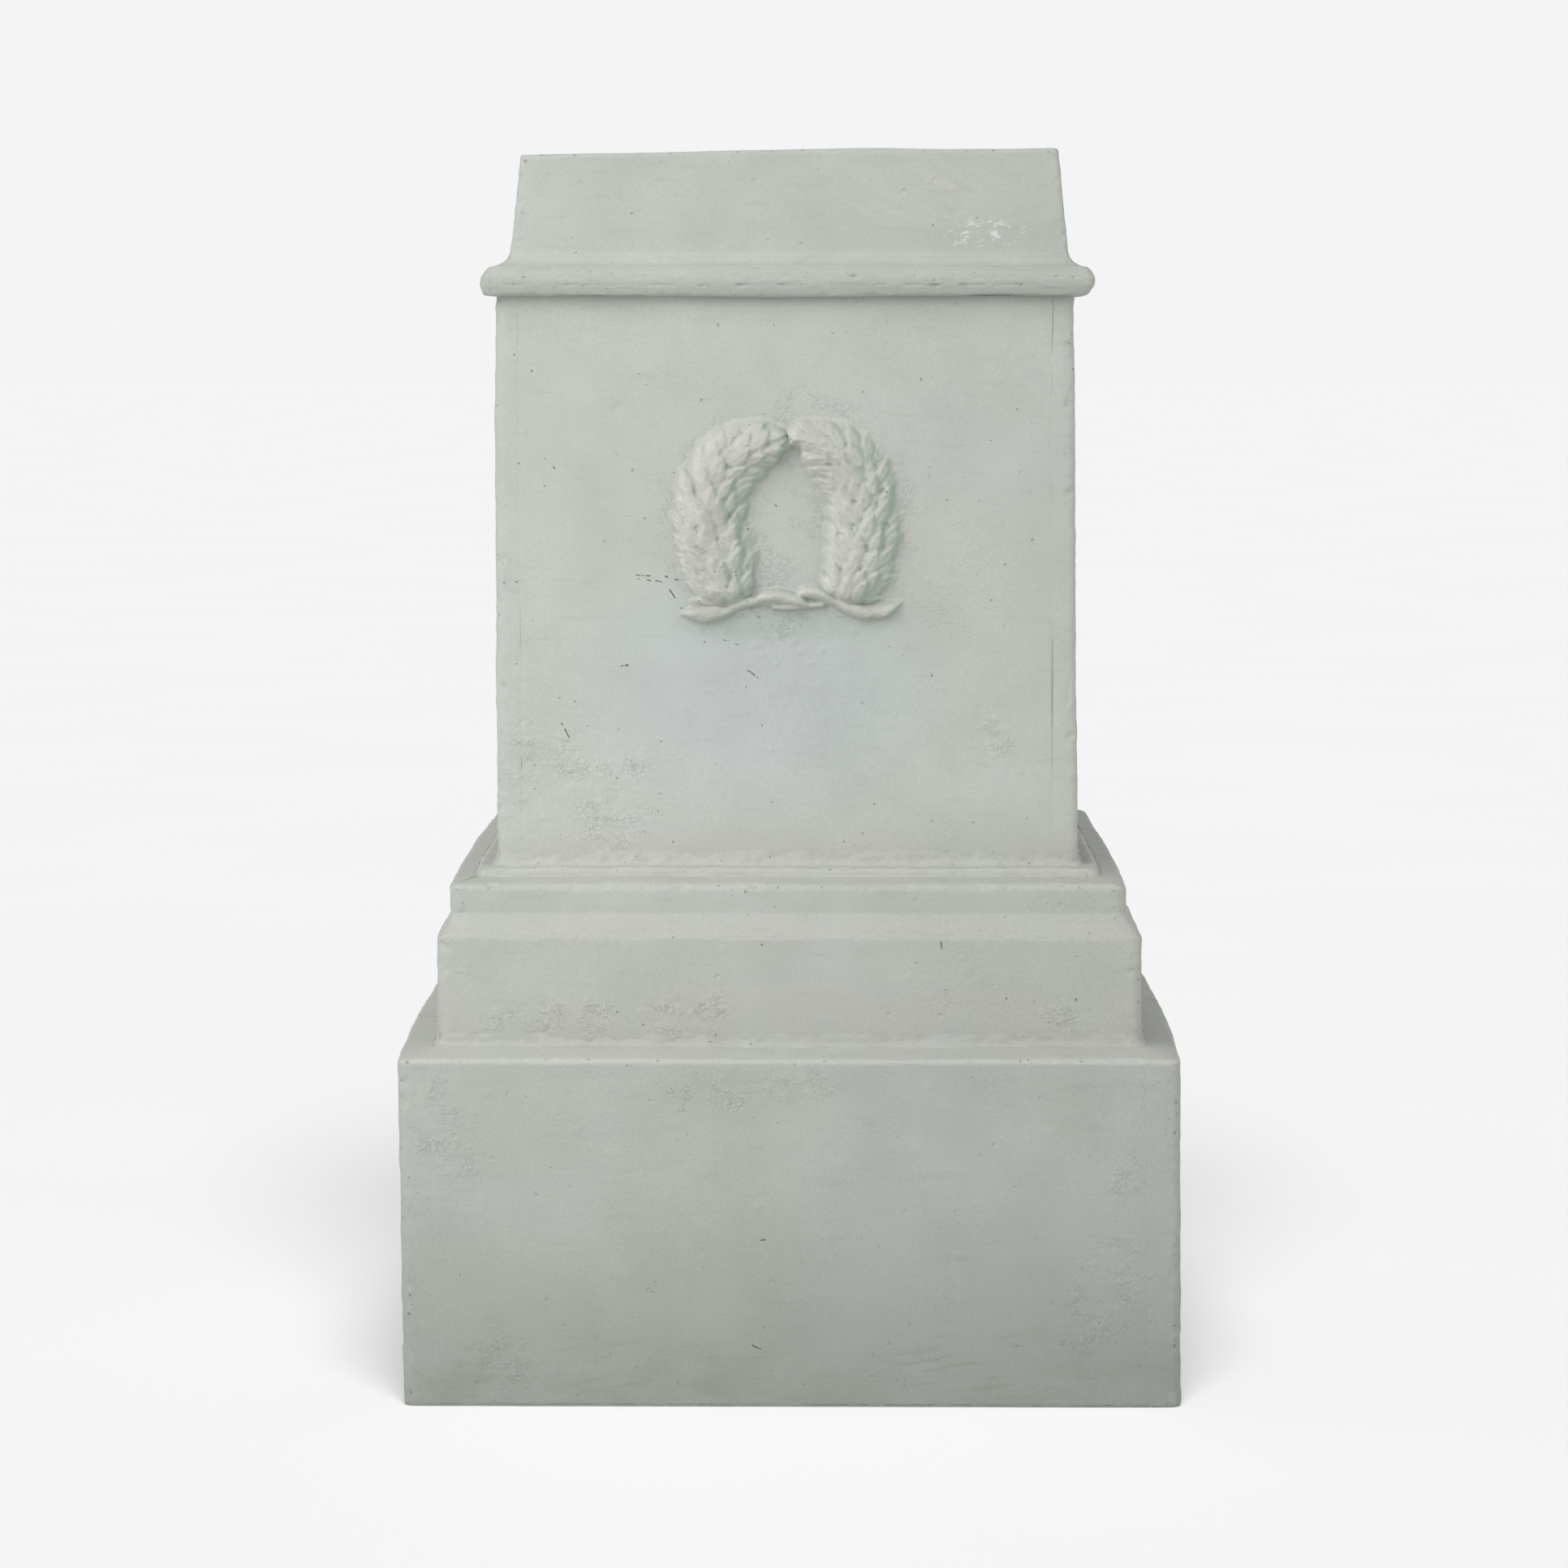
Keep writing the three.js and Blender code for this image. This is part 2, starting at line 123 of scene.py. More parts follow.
# How far each course sits off centre in x, as (height, shift): it was put together by eye.
SHIFTS = (
    (0, 1.5), (BASE_ARRIS_Z, -0.4), (STEP_FOOT_Z + 8, 0.1), (STEP_ARRIS_Z, 0.1), (FASCIA_ARRIS_Z, -1),
    (SHAFT_FOOT_Z + 10, -1.2), (SHAFT_HEAD_Z - 6, -2.6), (NOSE_FOOT_Z + 7, -1), (CAP_FOOT_Z + 10, 0),
    (TOP_Z, -0.2),
)

# Unevenness of every surface, as (height, length, seed). One wave is longer level than it is high.
WAVES = ((0.75, 130, 1), (0.30, 48, 2), (0.055, 6.5, 4), (0.030, 3.2, 5))
LEVEL_WAVE = (0.12, 17, 3, (1.6, 1.6, 1))

# The same for smeared filler, for each unit of lumps, and for the cast wreath.
FILLER_WAVES = ((0.55, 14, 14), (0.40, 5, 15))
CAST_WAVES = ((0.75, 13, 25), (0.35, 5, 22), (0.14, 2.2, 23), (0.05, 1.1, 24))

# Rough, wrinkled patches on the front, as (x, z, radius).
ROUGH_PATCHES = (
    (-171, 140, 24), (-176, 160, 14), (166, 70, 22), (158, 50, 22), (148, 38, 15), (-93, 297, 20),
    (-80, 300, 14), (-114, 327, 16), (-102, 322, 14), (-78, 326, 10), (-135, 338, 14), (-140, 316, 12),
    (108, 342, 12), (-150, 203, 12), (-124, 197, 14), (-98, 199, 12), (-62, 200, 16), (-40, 202, 12),
    (140, 196, 14), (-56, 167, 12), (-30, 165, 14), (-6, 167, 12), (14, 166, 10), (-150, 22, 21),
    (173, 118, 12),
)

# Single dents on the front, as (x, z, radius, depth). A negative depth is a lump.
KNOCKS = (
    (-85.5, 511, 6, 0.7), (-15.6, 104, 3.5, -0.7), (-133, 86, 3.5, 0.5), (-165, 28, 5, 0.6),
    (2.9, 139, 3, -0.5), (71, 166, 3, -0.5), (88, 79, 3.5, -0.5), (175, 149, 3.5, -0.5), (109, 341, 6, 0.8),
    (-80, 323, 4.5, 0.6), (-134, 328, 5, 0.7), (131, 400, 5, 0.5), (-152, 200, 2, -0.6),
    (61, 219, 2.5, -0.5), (-153, 163, 2.5, -0.5), (-19, 36, 5, 0.4), (61, 22, 3, 0.5), (-71, 12, 6, 0.4),
    (87, 56, 4, -0.4), (-112, 320, 5, 0.6), (-12, 383, 2.2, -0.9), (-5, 379, 1.8, -0.8),
    (8, 385, 2.2, -0.9), (13, 379, 2.6, -0.7), (4, 390, 2.4, -0.8), (-16, 388, 3, -0.6),
    (19, 386, 2, -0.7), (35, 396, 3.2, -0.6), (40, 392, 2, -0.6), (-30, 396, 2.4, -0.5),
)


def shift_at(z):
    heights, shifts = zip(*SHIFTS)
    return np.interp(z, heights, shifts)


# How far the ledges' side edges bow outward in their middle, on the left and on the right, at each height.
BOW_HEIGHTS = (0, 120, BASE_ARRIS_Z, STEP_FOOT_Z + 12, STEP_ARRIS_Z, FASCIA_ARRIS_Z, BEAD_TOP_Z + 12)
BOW_LEFT = (0.6, 1.6, 2.8, 0.6, 1, 2.2, 0.3)
BOW_RIGHT = (0.6, 2.2, 4.4, 0.6, 1, 2.2, 0.3)

# How much lower the top is toward its left end, at each x.
DROOP_X = (-140, -110, -75, -35, 20, 110, 140)
DROOP = (3, 2.4, 1.5, 0.5, 0, 0, -0.5)


def settled(points):
    """The points after the pedestal's own unevenness: courses off centre, bowed ledges, a drooping top."""
    x, y, z = points.T
    moved = points.copy()
    bow = np.where(x < 0, -np.interp(z, BOW_HEIGHTS, BOW_LEFT), np.interp(z, BOW_HEIGHTS, BOW_RIGHT))
    span = np.clip(1 - (y / BASE_HALF) ** 2, 0, 1)
    moved[:, 0] += shift_at(z) + bow * span * smoothstep(np.abs(x), 145, 172)
    moved[:, 2] -= np.interp(x, DROOP_X, DROOP) * smoothstep(z, CAP_FOOT_Z + 8, TOP_Z - 4)
    moved[:, 2] = np.maximum(moved[:, 2], 0)
    return moved


def on_front(points):
    """1 on the front, 0 on the other sides."""
    return smoothstep(-points[:, 1], 120, 135)


def rough_share(points):
    """How rough the plaster is at each point, from 0 to 1."""
    rough = 0.45 * smoothstep(noise(points, 60, 6), 0.46, 0.76)
    wobble = 0.30 * noise(points, 9, 7)
    for x, z, radius in ROUGH_PATCHES:
        away = np.hypot(points[:, 0] - x, points[:, 2] - z) / radius
        rough = np.maximum(rough, on_front(points) * smoothstep(away + wobble, 1.2, 0.5))
    return rough


def waves(points, table):
    return sum(height * noise(points, length, seed) for height, length, seed in table)


def push(points, arris, rough, lumps=0):
    """How far the surface stands out from its ideal place.
    arris is 1 along an edge, and lumps says how much smeared filler there is."""
    height, length, seed, stretch = LEVEL_WAVE
    out = waves(points, WAVES) + height * noise(points, length, seed, stretch)
    wrinkle = 1 - 2 * np.abs(noise(points, 4.6, 8))
    out += rough * (0.17 * wrinkle + 0.10 * noise(points, 2.6, 9))
    for x, z, radius, depth in KNOCKS:
        away = np.hypot(points[:, 0] - x, (points[:, 2] - z) * 1.25) / radius
        near = away < 2
        if near.any():
            bite = depth * np.exp(-2.2 * away[near]**2) * (1 + 0.5 * noise(points[near], 3, 10))
            out[near] -= on_front(points[near]) * bite
    nick = smoothstep(noise(points, 7.5, 11), 0.42, 0.8) + 0.5 * smoothstep(noise(points, 3.4, 12), 0.35, 0.8)
    out -= arris * (nick + 0.15 + 0.15 * noise(points, 20, 13) + 0.35 * noise(points, 7, 16))
    if lumps:
        out += lumps * waves(points, FILLER_WAVES)
    return out


# ---- Profiles ----

def arc(half, z, radius, start, end, steps, corner=0):
    """Profile points along a circle's arc, with angles in degrees."""
    angles = np.radians(np.linspace(start, end, steps + 1))
    return [(half + radius * math.cos(a), z + radius * math.sin(a), corner) for a in angles]


def rounded(points, spacing):
    """Splits a profile of (half, z, corner radius) points evenly and turns its corners into arcs.
    Returns the places, their outward normals, and how near each place is to a sharp outer corner."""
    placed, sharp = [], []
    for i, (half, z, radius) in enumerate(points):
        here = np.array([half, z], float)
        if i in (0, len(points) - 1) or radius == 0:
            placed.append(here)
            sharp.append(0)
            continue
        back = np.array(points[i - 1][:2], float) - here
        ahead = np.array(points[i + 1][:2], float) - here
        reach_back, reach_ahead = np.linalg.norm(back), np.linalg.norm(ahead)
        back, ahead = back / reach_back, ahead / reach_ahead
        half_angle = math.acos(float(np.clip(back @ ahead, -1, 1))) / 2
        reach = min(radius / math.tan(half_angle), 0.48 * reach_back, 0.48 * reach_ahead)
        start, end = here + back * reach, here + ahead * reach
        outer = 1 if back[0] * ahead[1] - back[1] * ahead[0] < 0 else 0
        count = max(4, int(math.ceil(reach * 2 / spacing)) + 3)
        for t in np.linspace(0, 1, count):
            placed.append(start * (1 - t) ** 2 + here * 2 * t * (1 - t) + end * t * t)
            sharp.append(outer * math.sin(math.pi * t) ** 0.5)
    line, edge = [placed[0]], [sharp[0]]
    for a, b, sharp_a, sharp_b in zip(placed, placed[1:], sharp, sharp[1:]):
        parts = max(1, int(round(np.linalg.norm(b - a) / spacing)))
        for k in range(1, parts + 1):
            line.append(a + (b - a) * k / parts)
            edge.append(sharp_a + (sharp_b - sharp_a) * k / parts)
    line = np.array(line)
    tangent = np.gradient(line, axis=0)
    tangent /= np.linalg.norm(tangent, axis=1)[:, None] + 1e-9
    normal = np.stack([tangent[:, 1], -tangent[:, 0]], axis=1)
    return line, normal, np.array(edge)


# ---- Meshes ----

def placed_object(name, data):
    thing = bpy.data.objects.new(name, data)
    bpy.context.scene.collection.objects.link(thing)
    return thing


def smooth_mesh(name, points, faces):
    """A mesh from points in millimetres."""
    mesh = bpy.data.meshes.new(name)
    mesh.vertices.add(len(points))
    mesh.vertices.foreach_set("co", (np.asarray(points) * MM).astype(np.float32).ravel())
    corners = np.concatenate(faces).astype(np.int32)
    starts = np.cumsum([0] + [len(face) for face in faces[:-1]]).astype(np.int32)
    mesh.loops.add(len(corners))
    mesh.loops.foreach_set("vertex_index", corners)
    mesh.polygons.add(len(faces))
    mesh.polygons.foreach_set("loop_start", starts)
    mesh.update(calc_edges=True)
    mesh.validate()
    mesh.shade_smooth()
    mesh.set_sharp_from_angle(angle=math.radians(50))
    return mesh


def add_piece(node, points, faces, coat, shares):
    """The visual piece for a CAD node. coat is its material and a slot name, which is not used, shares are
    numbers for the material.
    """
    mesh = smooth_mesh("v_" + node, points, faces)
    for label, values in shares.items():
        numbers = mesh.attributes.new(label, "FLOAT", "POINT").data
        numbers.foreach_set("value", values.astype(np.float32).ravel())
    material, slot = coat
    mesh.materials.append(material)
    piece = placed_object("v_" + node, mesh)
    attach(piece, "root")
    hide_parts(node)


def turned(points, turns):
    """Points turned about Z by quarter turns, anticlockwise from above."""
    for _ in range(turns % 4):
        points = np.stack([-points[:, 1], points[:, 0], points[:, 2]], axis=1)
    return points


# ---- Sweeping a course round the pedestal ----

class Section:
    """A course's profile, from its foot to its top, and what its pieces are made of."""

    def __init__(self, points, inner, corner, coat, lumps=0, spacing=1):
        line, self.normal, self.edge = rounded(points, FRONT_STEP * spacing)
        self.half, self.z = line.T
        self.level = np.abs(self.normal[:, 0])
        self.inner, self.corner = inner, corner
        self.coat, self.lumps = coat, lumps


# Distances from a joint at which a surface always has a line of points, to draw the dip over it.
JOINT_LINES = (0.4, 0.8, 1.3)
JOINT_CLEAR = 1.8
JOINT_DIP = 0.12
JOINT_DIP_REACH = 0.9
WORN_REACH = 2.5


def flat_samples(reach, spacing):
    """Places from -reach to reach, closer together at both ends, where the joints are."""
    count = max(4, int(round(2 * reach / spacing)))
    places = np.linspace(-reach, reach, count + 1)
    near = np.array(JOINT_LINES)
    inside = places[np.abs(places) < reach - JOINT_CLEAR]
    return np.concatenate([[-reach], near - reach, inside, reach - near[::-1], [reach]])


def joint_dip(away):
    """The faint hollow over a joint between two slabs, where the filler has shrunk."""
    return JOINT_DIP * np.exp(-(away / JOINT_DIP_REACH) ** 2)


def inner_line(x, inner, z, turns):
    return settled(turned(np.stack([x, np.full(len(x), -inner), np.full(len(x), z)], axis=1), turns))


def swept_piece(section, node, turns, columns, foot_line, top_line):
    """A piece drawn as the front one, turned to its side, made uneven and closed behind.
    Each column is x, y, the normal's x and y, how near it is to an outer corner, and how far it is sunk."""
    shape = (len(columns), len(section.half))
    x, y, normal_x, normal_y, corner, dip = (
        np.array([np.broadcast_to(value, shape[1:]) for value in kind], float) for kind in zip(*columns))
    up = np.broadcast_to(section.normal[:, 1], shape)
    points = np.stack([x, y, np.broadcast_to(section.z, shape)], axis=2).reshape(-1, 3)
    normals = np.stack([normal_x * section.level, normal_y * section.level, up], axis=2).reshape(-1, 3)
    points, normals = turned(points, turns), turned(normals, turns)
    arris = np.maximum(section.edge, corner * section.level)
    rough = rough_share(points)
    out = push(points, arris.reshape(-1), rough, section.lumps) - (dip * section.level).reshape(-1)
    outer = settled(points + normals * out[:, None]).reshape(*shape, 3)

    foot = inner_line(foot_line, section.inner, section.z[0], turns)
    top = inner_line(top_line, section.inner, section.z[-1], turns)
    loop = np.concatenate([outer, top[:, None], foot[:, None]], axis=1)
    index = np.arange(loop.shape[0] * loop.shape[1]).reshape(loop.shape[:2])
    a, b = index[:-1], index[1:]
    sides = np.stack([a, b, np.roll(b, -1, axis=1), np.roll(a, -1, axis=1)], axis=2).reshape(-1, 4)
    faces = list(sides) + [index[0], index[-1][::-1]]
    shares = {name: np.pad(values.reshape(shape), ((0, 0), (0, 2))) for name, values in
              (("rough", rough), ("arris", arris))}
    add_piece(node, loop.reshape(-1, 3), faces, section.coat, shares)


def bent_columns(half, radius, start, count):
    """Columns round the left corner, from an angle in degrees to the front."""
    columns = []
    for a in np.radians(np.linspace(start, 0, count)):
        lean_x, lean_y = -math.sin(a), -math.cos(a)
        x, y = radius * lean_x - (half - radius), radius * lean_y - (half - radius)
        columns.append((x, y, lean_x, lean_y, 1, 0))
    return columns


def with_face(left, half, radius, spacing):
    """Columns of the left end, then of the face, then of the right end."""
    face = []
    for t in flat_samples(half[0], spacing)[1:-1] / half[0]:
        near = math.exp((abs(t) - 1) * half[0] / WORN_REACH)
        face.append((t * (half - radius), -half, 0, -1, near, 0))
    right = [(-x, y, -lean_x, lean_y, corner, dip) for x, y, lean_x, lean_y, corner, dip in left[::-1]]
    return left + face + right


def mitred_piece(section, node, turns, spacing):
    """One length of a course, from the middle of a rounded corner to the middle of the next."""
    half = section.half
    radius = np.minimum(section.corner, 0.5 * half)
    columns = with_face(bent_columns(half, radius, 45, 5), half, radius, spacing)
    line = np.linspace(-1, 1, len(columns)) * section.inner
    swept_piece(section, node, turns, columns, line, line)


def lapped_front_piece(section, node, turns, spacing):
    """A slab whose ends are covered by its neighbours."""
    line = flat_samples(section.inner, spacing)
    columns = [(x, -section.half, 0, -1, 0, joint_dip(section.inner - abs(x))) for x in line]
    swept_piece(section, node, turns, columns, line, line)


def lapped_side_piece(section, node, turns, spacing):
    """A slab that runs the full depth and covers its neighbours' ends."""
    half, inner = section.half, section.inner
    radius = np.minimum(section.corner, 0.5 * (half - inner))
    reach = half[0] - inner - section.corner
    left = []
    for t in np.concatenate([[0], JOINT_LINES, np.arange(2.2, reach, spacing)]) / reach:
        away = t * (half - radius - inner)
        left.append((-half, -inner - away, -1, 0, 0, joint_dip(away)))
    columns = with_face(left + bent_columns(half, radius, 90, 7), half, radius, spacing)
    line = np.linspace(-1, 1, len(columns))
    swept_piece(section, node, turns, columns, line * (half[0] - 0.3), line * (half[-1] - 0.3))


def build_course(pattern, section, lapped=False):
    """The four pieces of a course. Where they lap, the left and right ones cover the others' ends."""
    for turns, side in enumerate(SIDES):
        build = mitred_piece
        if lapped:
            build = lapped_front_piece if side in ("front", "back") else lapped_side_piece
        build(section, pattern.format(side), turns, FRONT_STEP if side == "front" else OTHER_STEP)


# ---- The courses ----

def build_courses(plaster, filler):
    build_course("base_{}_slab", Section([
        (BASE_HALF - 0.6, 0, 0),
        (BASE_HALF, 1.5, 0.8),
        (BASE_HALF + 0.2, BASE_ARRIS_Z, 2.6),
        (BASE_INNER + 0.4, BASE_LEDGE_Z, 0),
    ], BASE_INNER, 5.5, plaster), lapped=True)
    build_course("lower_putty_{}", Section([
        (STEP_HALF + 7.4, STEP_FOOT_Z - 3.4, 0),
        (STEP_HALF + 0.8, STEP_FOOT_Z + 0.4, 6),
        (STEP_HALF - 0.1, STEP_FOOT_Z + 6.4, 0),
    ], STEP_HALF - 1.5, 6.5, filler, 1.2))
    build_course("step_{}_casting", Section([
        (STEP_HALF, STEP_FOOT_Z, 0),
        (STEP_HALF, STEP_ARRIS_Z, 3.4),
        (FASCIA_HALF + 2, FASCIA_FOOT_Z - 2.6, 5),
        (FASCIA_HALF, FASCIA_FOOT_Z + 2.2, 4),
        (FASCIA_HALF, FASCIA_ARRIS_Z, 4),
        (BEAD_HALF + 1, STEP_TOP_Z, 1.5),
        (STEP_INNER + 0.4, STEP_TOP_Z, 0),
    ], STEP_INNER, 6, plaster))
    build_course("foot_bead_{}", Section([
        (BEAD_HALF + 1.4, STEP_TOP_Z - 1.8, 0),
        (BEAD_HALF - 0.4, STEP_TOP_Z + 0.4, 3.5),
        (BEAD_HALF - 1.6, BEAD_TOP_Z + 0.2, 4),
        (BEAD_INNER + 2, BEAD_TOP_Z + 0.2, 0),
    ], BEAD_INNER, 6.5, plaster, 1, 0.7))
    build_course("upper_putty_{}", Section([
        (SHAFT_FOOT_HALF + 7, BEAD_TOP_Z - 1.7, 0),
        (SHAFT_FOOT_HALF + 0.9, BEAD_TOP_Z + 1.2, 6),
        (SHAFT_FOOT_HALF - 0.1, BEAD_TOP_Z + 8.4, 0),
    ], SHAFT_FOOT_HALF - 1.5, 6.5, filler, 1.5))
    build_course("shaft_{}_slab", Section([
        (SHAFT_FOOT_HALF, SHAFT_FOOT_Z, 0),
        (SHAFT_HEAD_HALF, SHAFT_HEAD_Z + 0.5, 0),
    ], SHAFT_INNER, 4.6, plaster), lapped=True)
    middle = (NOSE_FOOT_Z + NOSE_HEAD_Z) / 2
    build_course("bull_nose_{}", Section([
        (SHAFT_HEAD_HALF - 3, NOSE_FOOT_Z - 0.2, 0),
        (NOSE_HALF - 2.4, NOSE_FOOT_Z - 0.2, 3),
        (NOSE_HALF + 0.3, middle - 2.2, 5),
        (NOSE_HALF + 0.3, middle + 2.2, 5),
        (CAP_FOOT_HALF + 0.9, NOSE_HEAD_Z + 0.1, 4),
        (CAP_FOOT_HALF - 4, NOSE_HEAD_Z + 0.6, 0),
    ], NOSE_INNER, 5, plaster, 0.3, 0.8))
    build_course("cap_{}_casting", Section([
        (CAP_FOOT_HALF + 1, CAP_FOOT_Z - 1.6, 0),
        *arc(CAP_FOOT_HALF, CAP_FOOT_Z + CAVETTO, CAVETTO, 270, 184, 8),
        (CAP_HEAD_HALF, TOP_Z, 2.2),
        (CAP_INNER + 0.4, TOP_Z, 0),
    ], CAP_INNER, 3.4, plaster, 0, 0.9))


# ---- Solids from a grid ----

def cell_corners(grid):
    """The four corners of every cell, as four grids."""
    return [grid[:-1, :-1], grid[1:, :-1], grid[1:, 1:], grid[:-1, 1:]]


def grid_solid(top, back, keep):
    """A closed solid between two grids of points, over the cells that are kept. top faces outward."""
    rows, cols, _ = top.shape
    count = rows * cols
    index = np.arange(count).reshape(rows, cols)
    quads = np.stack([corner[keep] for corner in cell_corners(index)], axis=1)
    start = quads.ravel()
    end = np.roll(quads, -1, axis=1).ravel()
    rim = ~np.isin(start * count + end, end * count + start)
    walls = np.stack([end[rim], start[rim], start[rim] + count, end[rim] + count], axis=1)
    faces = np.concatenate([quads, walls, quads[:, ::-1] + count])
    used, faces = np.unique(faces, return_inverse=True)
    points = np.concatenate([top.reshape(-1, 3), back.reshape(-1, 3)])[used]
    return points, list(faces.reshape(-1, 4)), used


def build_top_slab(plaster):
    """The lid, whose top joins the cap castings' tops."""
    lines = flat_samples(CAP_INNER, OTHER_STEP * 1.3)
    x, y = np.meshgrid(lines, lines, indexing="ij")
    flat = np.stack([x, y, np.full(x.shape, TOP_Z)], axis=2).reshape(-1, 3)
    rough = rough_share(flat)
    away = CAP_INNER - np.maximum(np.abs(flat[:, 0]), np.abs(flat[:, 1]))
    flat[:, 2] += push(flat, np.zeros(len(flat)), rough) - joint_dip(away)
    top = settled(flat)
    back = top.copy()
    back[:, 2] = box("top_slab")[0][2]
    keep = np.ones((len(lines) - 1, len(lines) - 1), bool)
    points, faces, used = grid_solid(top.reshape(*x.shape, 3), back.reshape(*x.shape, 3), keep)
    shares = {"rough": np.tile(rough, 2)[used], "arris": np.zeros(len(used))}
    add_piece("top_slab", points, faces, plaster, shares)


# ---- The laurel wreath ----

# Centre lines on the shaft's face, foot to tip, as (x, z, half width).
LEFT_BRANCH = (
    (-31.5, 410.5, 13.5), (-33.5, 416, 16.4), (-37, 433.7, 19.6), (-40.1, 454.8, 18.8),
    (-38.1, 470.4, 18.6), (-30.2, 482.2, 17.6), (-16.8, 490.5, 14.2), (-6, 493, 9.4),
    (-0.8, 492.6, 4),
)
RIGHT_BRANCH = (
    (30.5, 411.5, 13), (31.7, 416.5, 15.8), (36.6, 432.1, 18.4), (39, 454.8, 18), (37.1, 470.9, 17.4),
    (29, 482.8, 17.2), (18.2, 490.3, 14.8), (7.5, 496.3, 9), (0.5, 495.2, 4.2),
)
ROLL_HEIGHT = 8.6
BED_DEPTH = 1.5
RELIEF_MARGIN = 13
TRAIL_STEPS = 24
BELOW_FACE = -4

# Two layers of leaves: row gap, places across the roll in odd and even rows, length, width, lift and crown.
UNDER_LANES = ((-0.94, -0.52, -0.10, 0.34, 0.86), (-0.76, -0.30, 0.12, 0.56, 0.96))
UNDER_LEAVES = (4.6, UNDER_LANES, 10.5, 6.2, 0.9, 1.2)
OVER_LANES = ((-0.88, -0.34, 0.28, 0.86), (-0.60, 0, 0.60))
OVER_LEAVES = (6.8, OVER_LANES, 13, 7.4, 2.3, 2.1)

RIBBON_BAND_Z = 409

# Strands of the ribbon's bow: each is (height, tilt, points) with points as (x, z, half width).
RIBBON = (
    (5, 0.5, ((-55.5, 404.6, 0.8), (-50.5, 404.6, 3.6), (-43.5, 404.4, 5),
                (-37, 406.2, 4.4), (-31, 409.2, 1.4))),
    (5.2, 0.9, ((-41, 402.8, 2), (-34, 405.2, 3.4), (-26, 409.4, 3.6),
                (-17, 411.2, 3.2), (-6, 410.8, 2.4))),
    (7.4, 0.8, ((-18.5, 411, 1.6), (-12.5, 413.4, 3.4), (-4, 413.6, 4),
                (4, 411.4, 3.6), (11, 408.4, 1.6))),
    (5.6, -0.5, ((-8, 408.4, 1.6), (0, 408.8, 2.6), (8, 409.6, 2.8), (17, 410, 2.2))),
    (7.2, 0.9, ((2.5, 413.2, 1.4), (8, 415.6, 3.2), (14.5, 415.4, 3.8),
                (21, 412.4, 3.4), (28, 408.6, 1.8))),
    (6, 0.9, ((16, 414.6, 1.4), (23.5, 411.4, 3.4), (31.5, 407.8, 4.2),
                (40, 405.4, 4.2), (46.5, 404.2, 2.6))),
    (5.2, -0.6, ((34, 407.2, 1.6), (41, 406.2, 4), (48, 406.4, 4.6),
                (53.5, 408.4, 3.2), (57.5, 410.8, 0.8))),
)


class Trail:
    """A smooth line through given points, with a half width along it."""

    def __init__(self, points):
        rows = np.array(points, float)
        ends = np.concatenate([[2 * rows[0] - rows[1]], rows, [2 * rows[-1] - rows[-2]]])
        t = np.linspace(0, 1, TRAIL_STEPS, endpoint=False)[:, None]
        bends = [b + ((c - a) * t + (2 * a - 5 * b + 4 * c - d) * t**2 + (3 * b - a - 3 * c + d) * t**3) / 2
                 for a, b, c, d in zip(ends, ends[1:], ends[2:], ends[3:])]
        line = np.concatenate(bends + [rows[-1:]])
        self.place = line[:, :2]
        self.half = np.maximum(line[:, 2], 0.3)
        tangent = np.gradient(self.place, axis=0)
        self.tangent = tangent / np.linalg.norm(tangent, axis=1)[:, None]
        self.side = np.stack([-self.tangent[:, 1], self.tangent[:, 0]], axis=1)
        steps = np.linalg.norm(np.diff(self.place, axis=0), axis=1)
        self.length = np.concatenate([[0], np.cumsum(steps)])

    def locate(self, x, z):
        """Nearest step of the line, how far across it a point is (1 at its left edge), and how far away."""
        best = np.full(x.shape, 1e9)
        step = np.zeros(x.shape, int)
        for i, (line_x, line_z) in enumerate(self.place):
            away = (x - line_x) ** 2 + (z - line_z) ** 2
            closer = away < best
            best = np.where(closer, away, best)
            step = np.where(closer, i, step)
        away = np.stack([x, z], axis=-1) - self.place[step]
        offset = (away * self.side[step]).sum(axis=-1)
        distance = np.sqrt(best)
        across = np.where(offset < 0, -distance, distance) / self.half[step]
        return step, across, distance

    def at(self, length):
        return int(np.searchsorted(self.length, length).clip(0, len(self.half) - 1))


def blurred(field, reach):
    """A field smoothed with a bell curve whose spread is reach millimetres."""
    spread = reach / WREATH_STEP
    count = int(math.ceil(spread * 3))
    weights = np.exp(-0.5 * (np.arange(-count, count + 1) / spread) ** 2)
    weights /= weights.sum()
    for axis in (0, 1):
        padded = np.pad(field, [(count, count) if a == axis else (0, 0) for a in (0, 1)], mode="edge")
        field = sum(w * np.take(padded, np.arange(k, k + field.shape[axis]), axis=axis)
                    for k, w in enumerate(weights))
    return field


def leaf_outline(share, width):
    """Half width of a laurel leaf at a share of its length: round at the base, pointed at the tip."""
    base = np.clip(share / 0.38, 0, 1)
    tip = np.clip((share - 0.38) / 0.62, 0, 1)
    return width / 2 * np.sqrt(np.clip(1 - (1 - base) ** 2, 0, 1)) * (1 - tip**2) ** 0.9


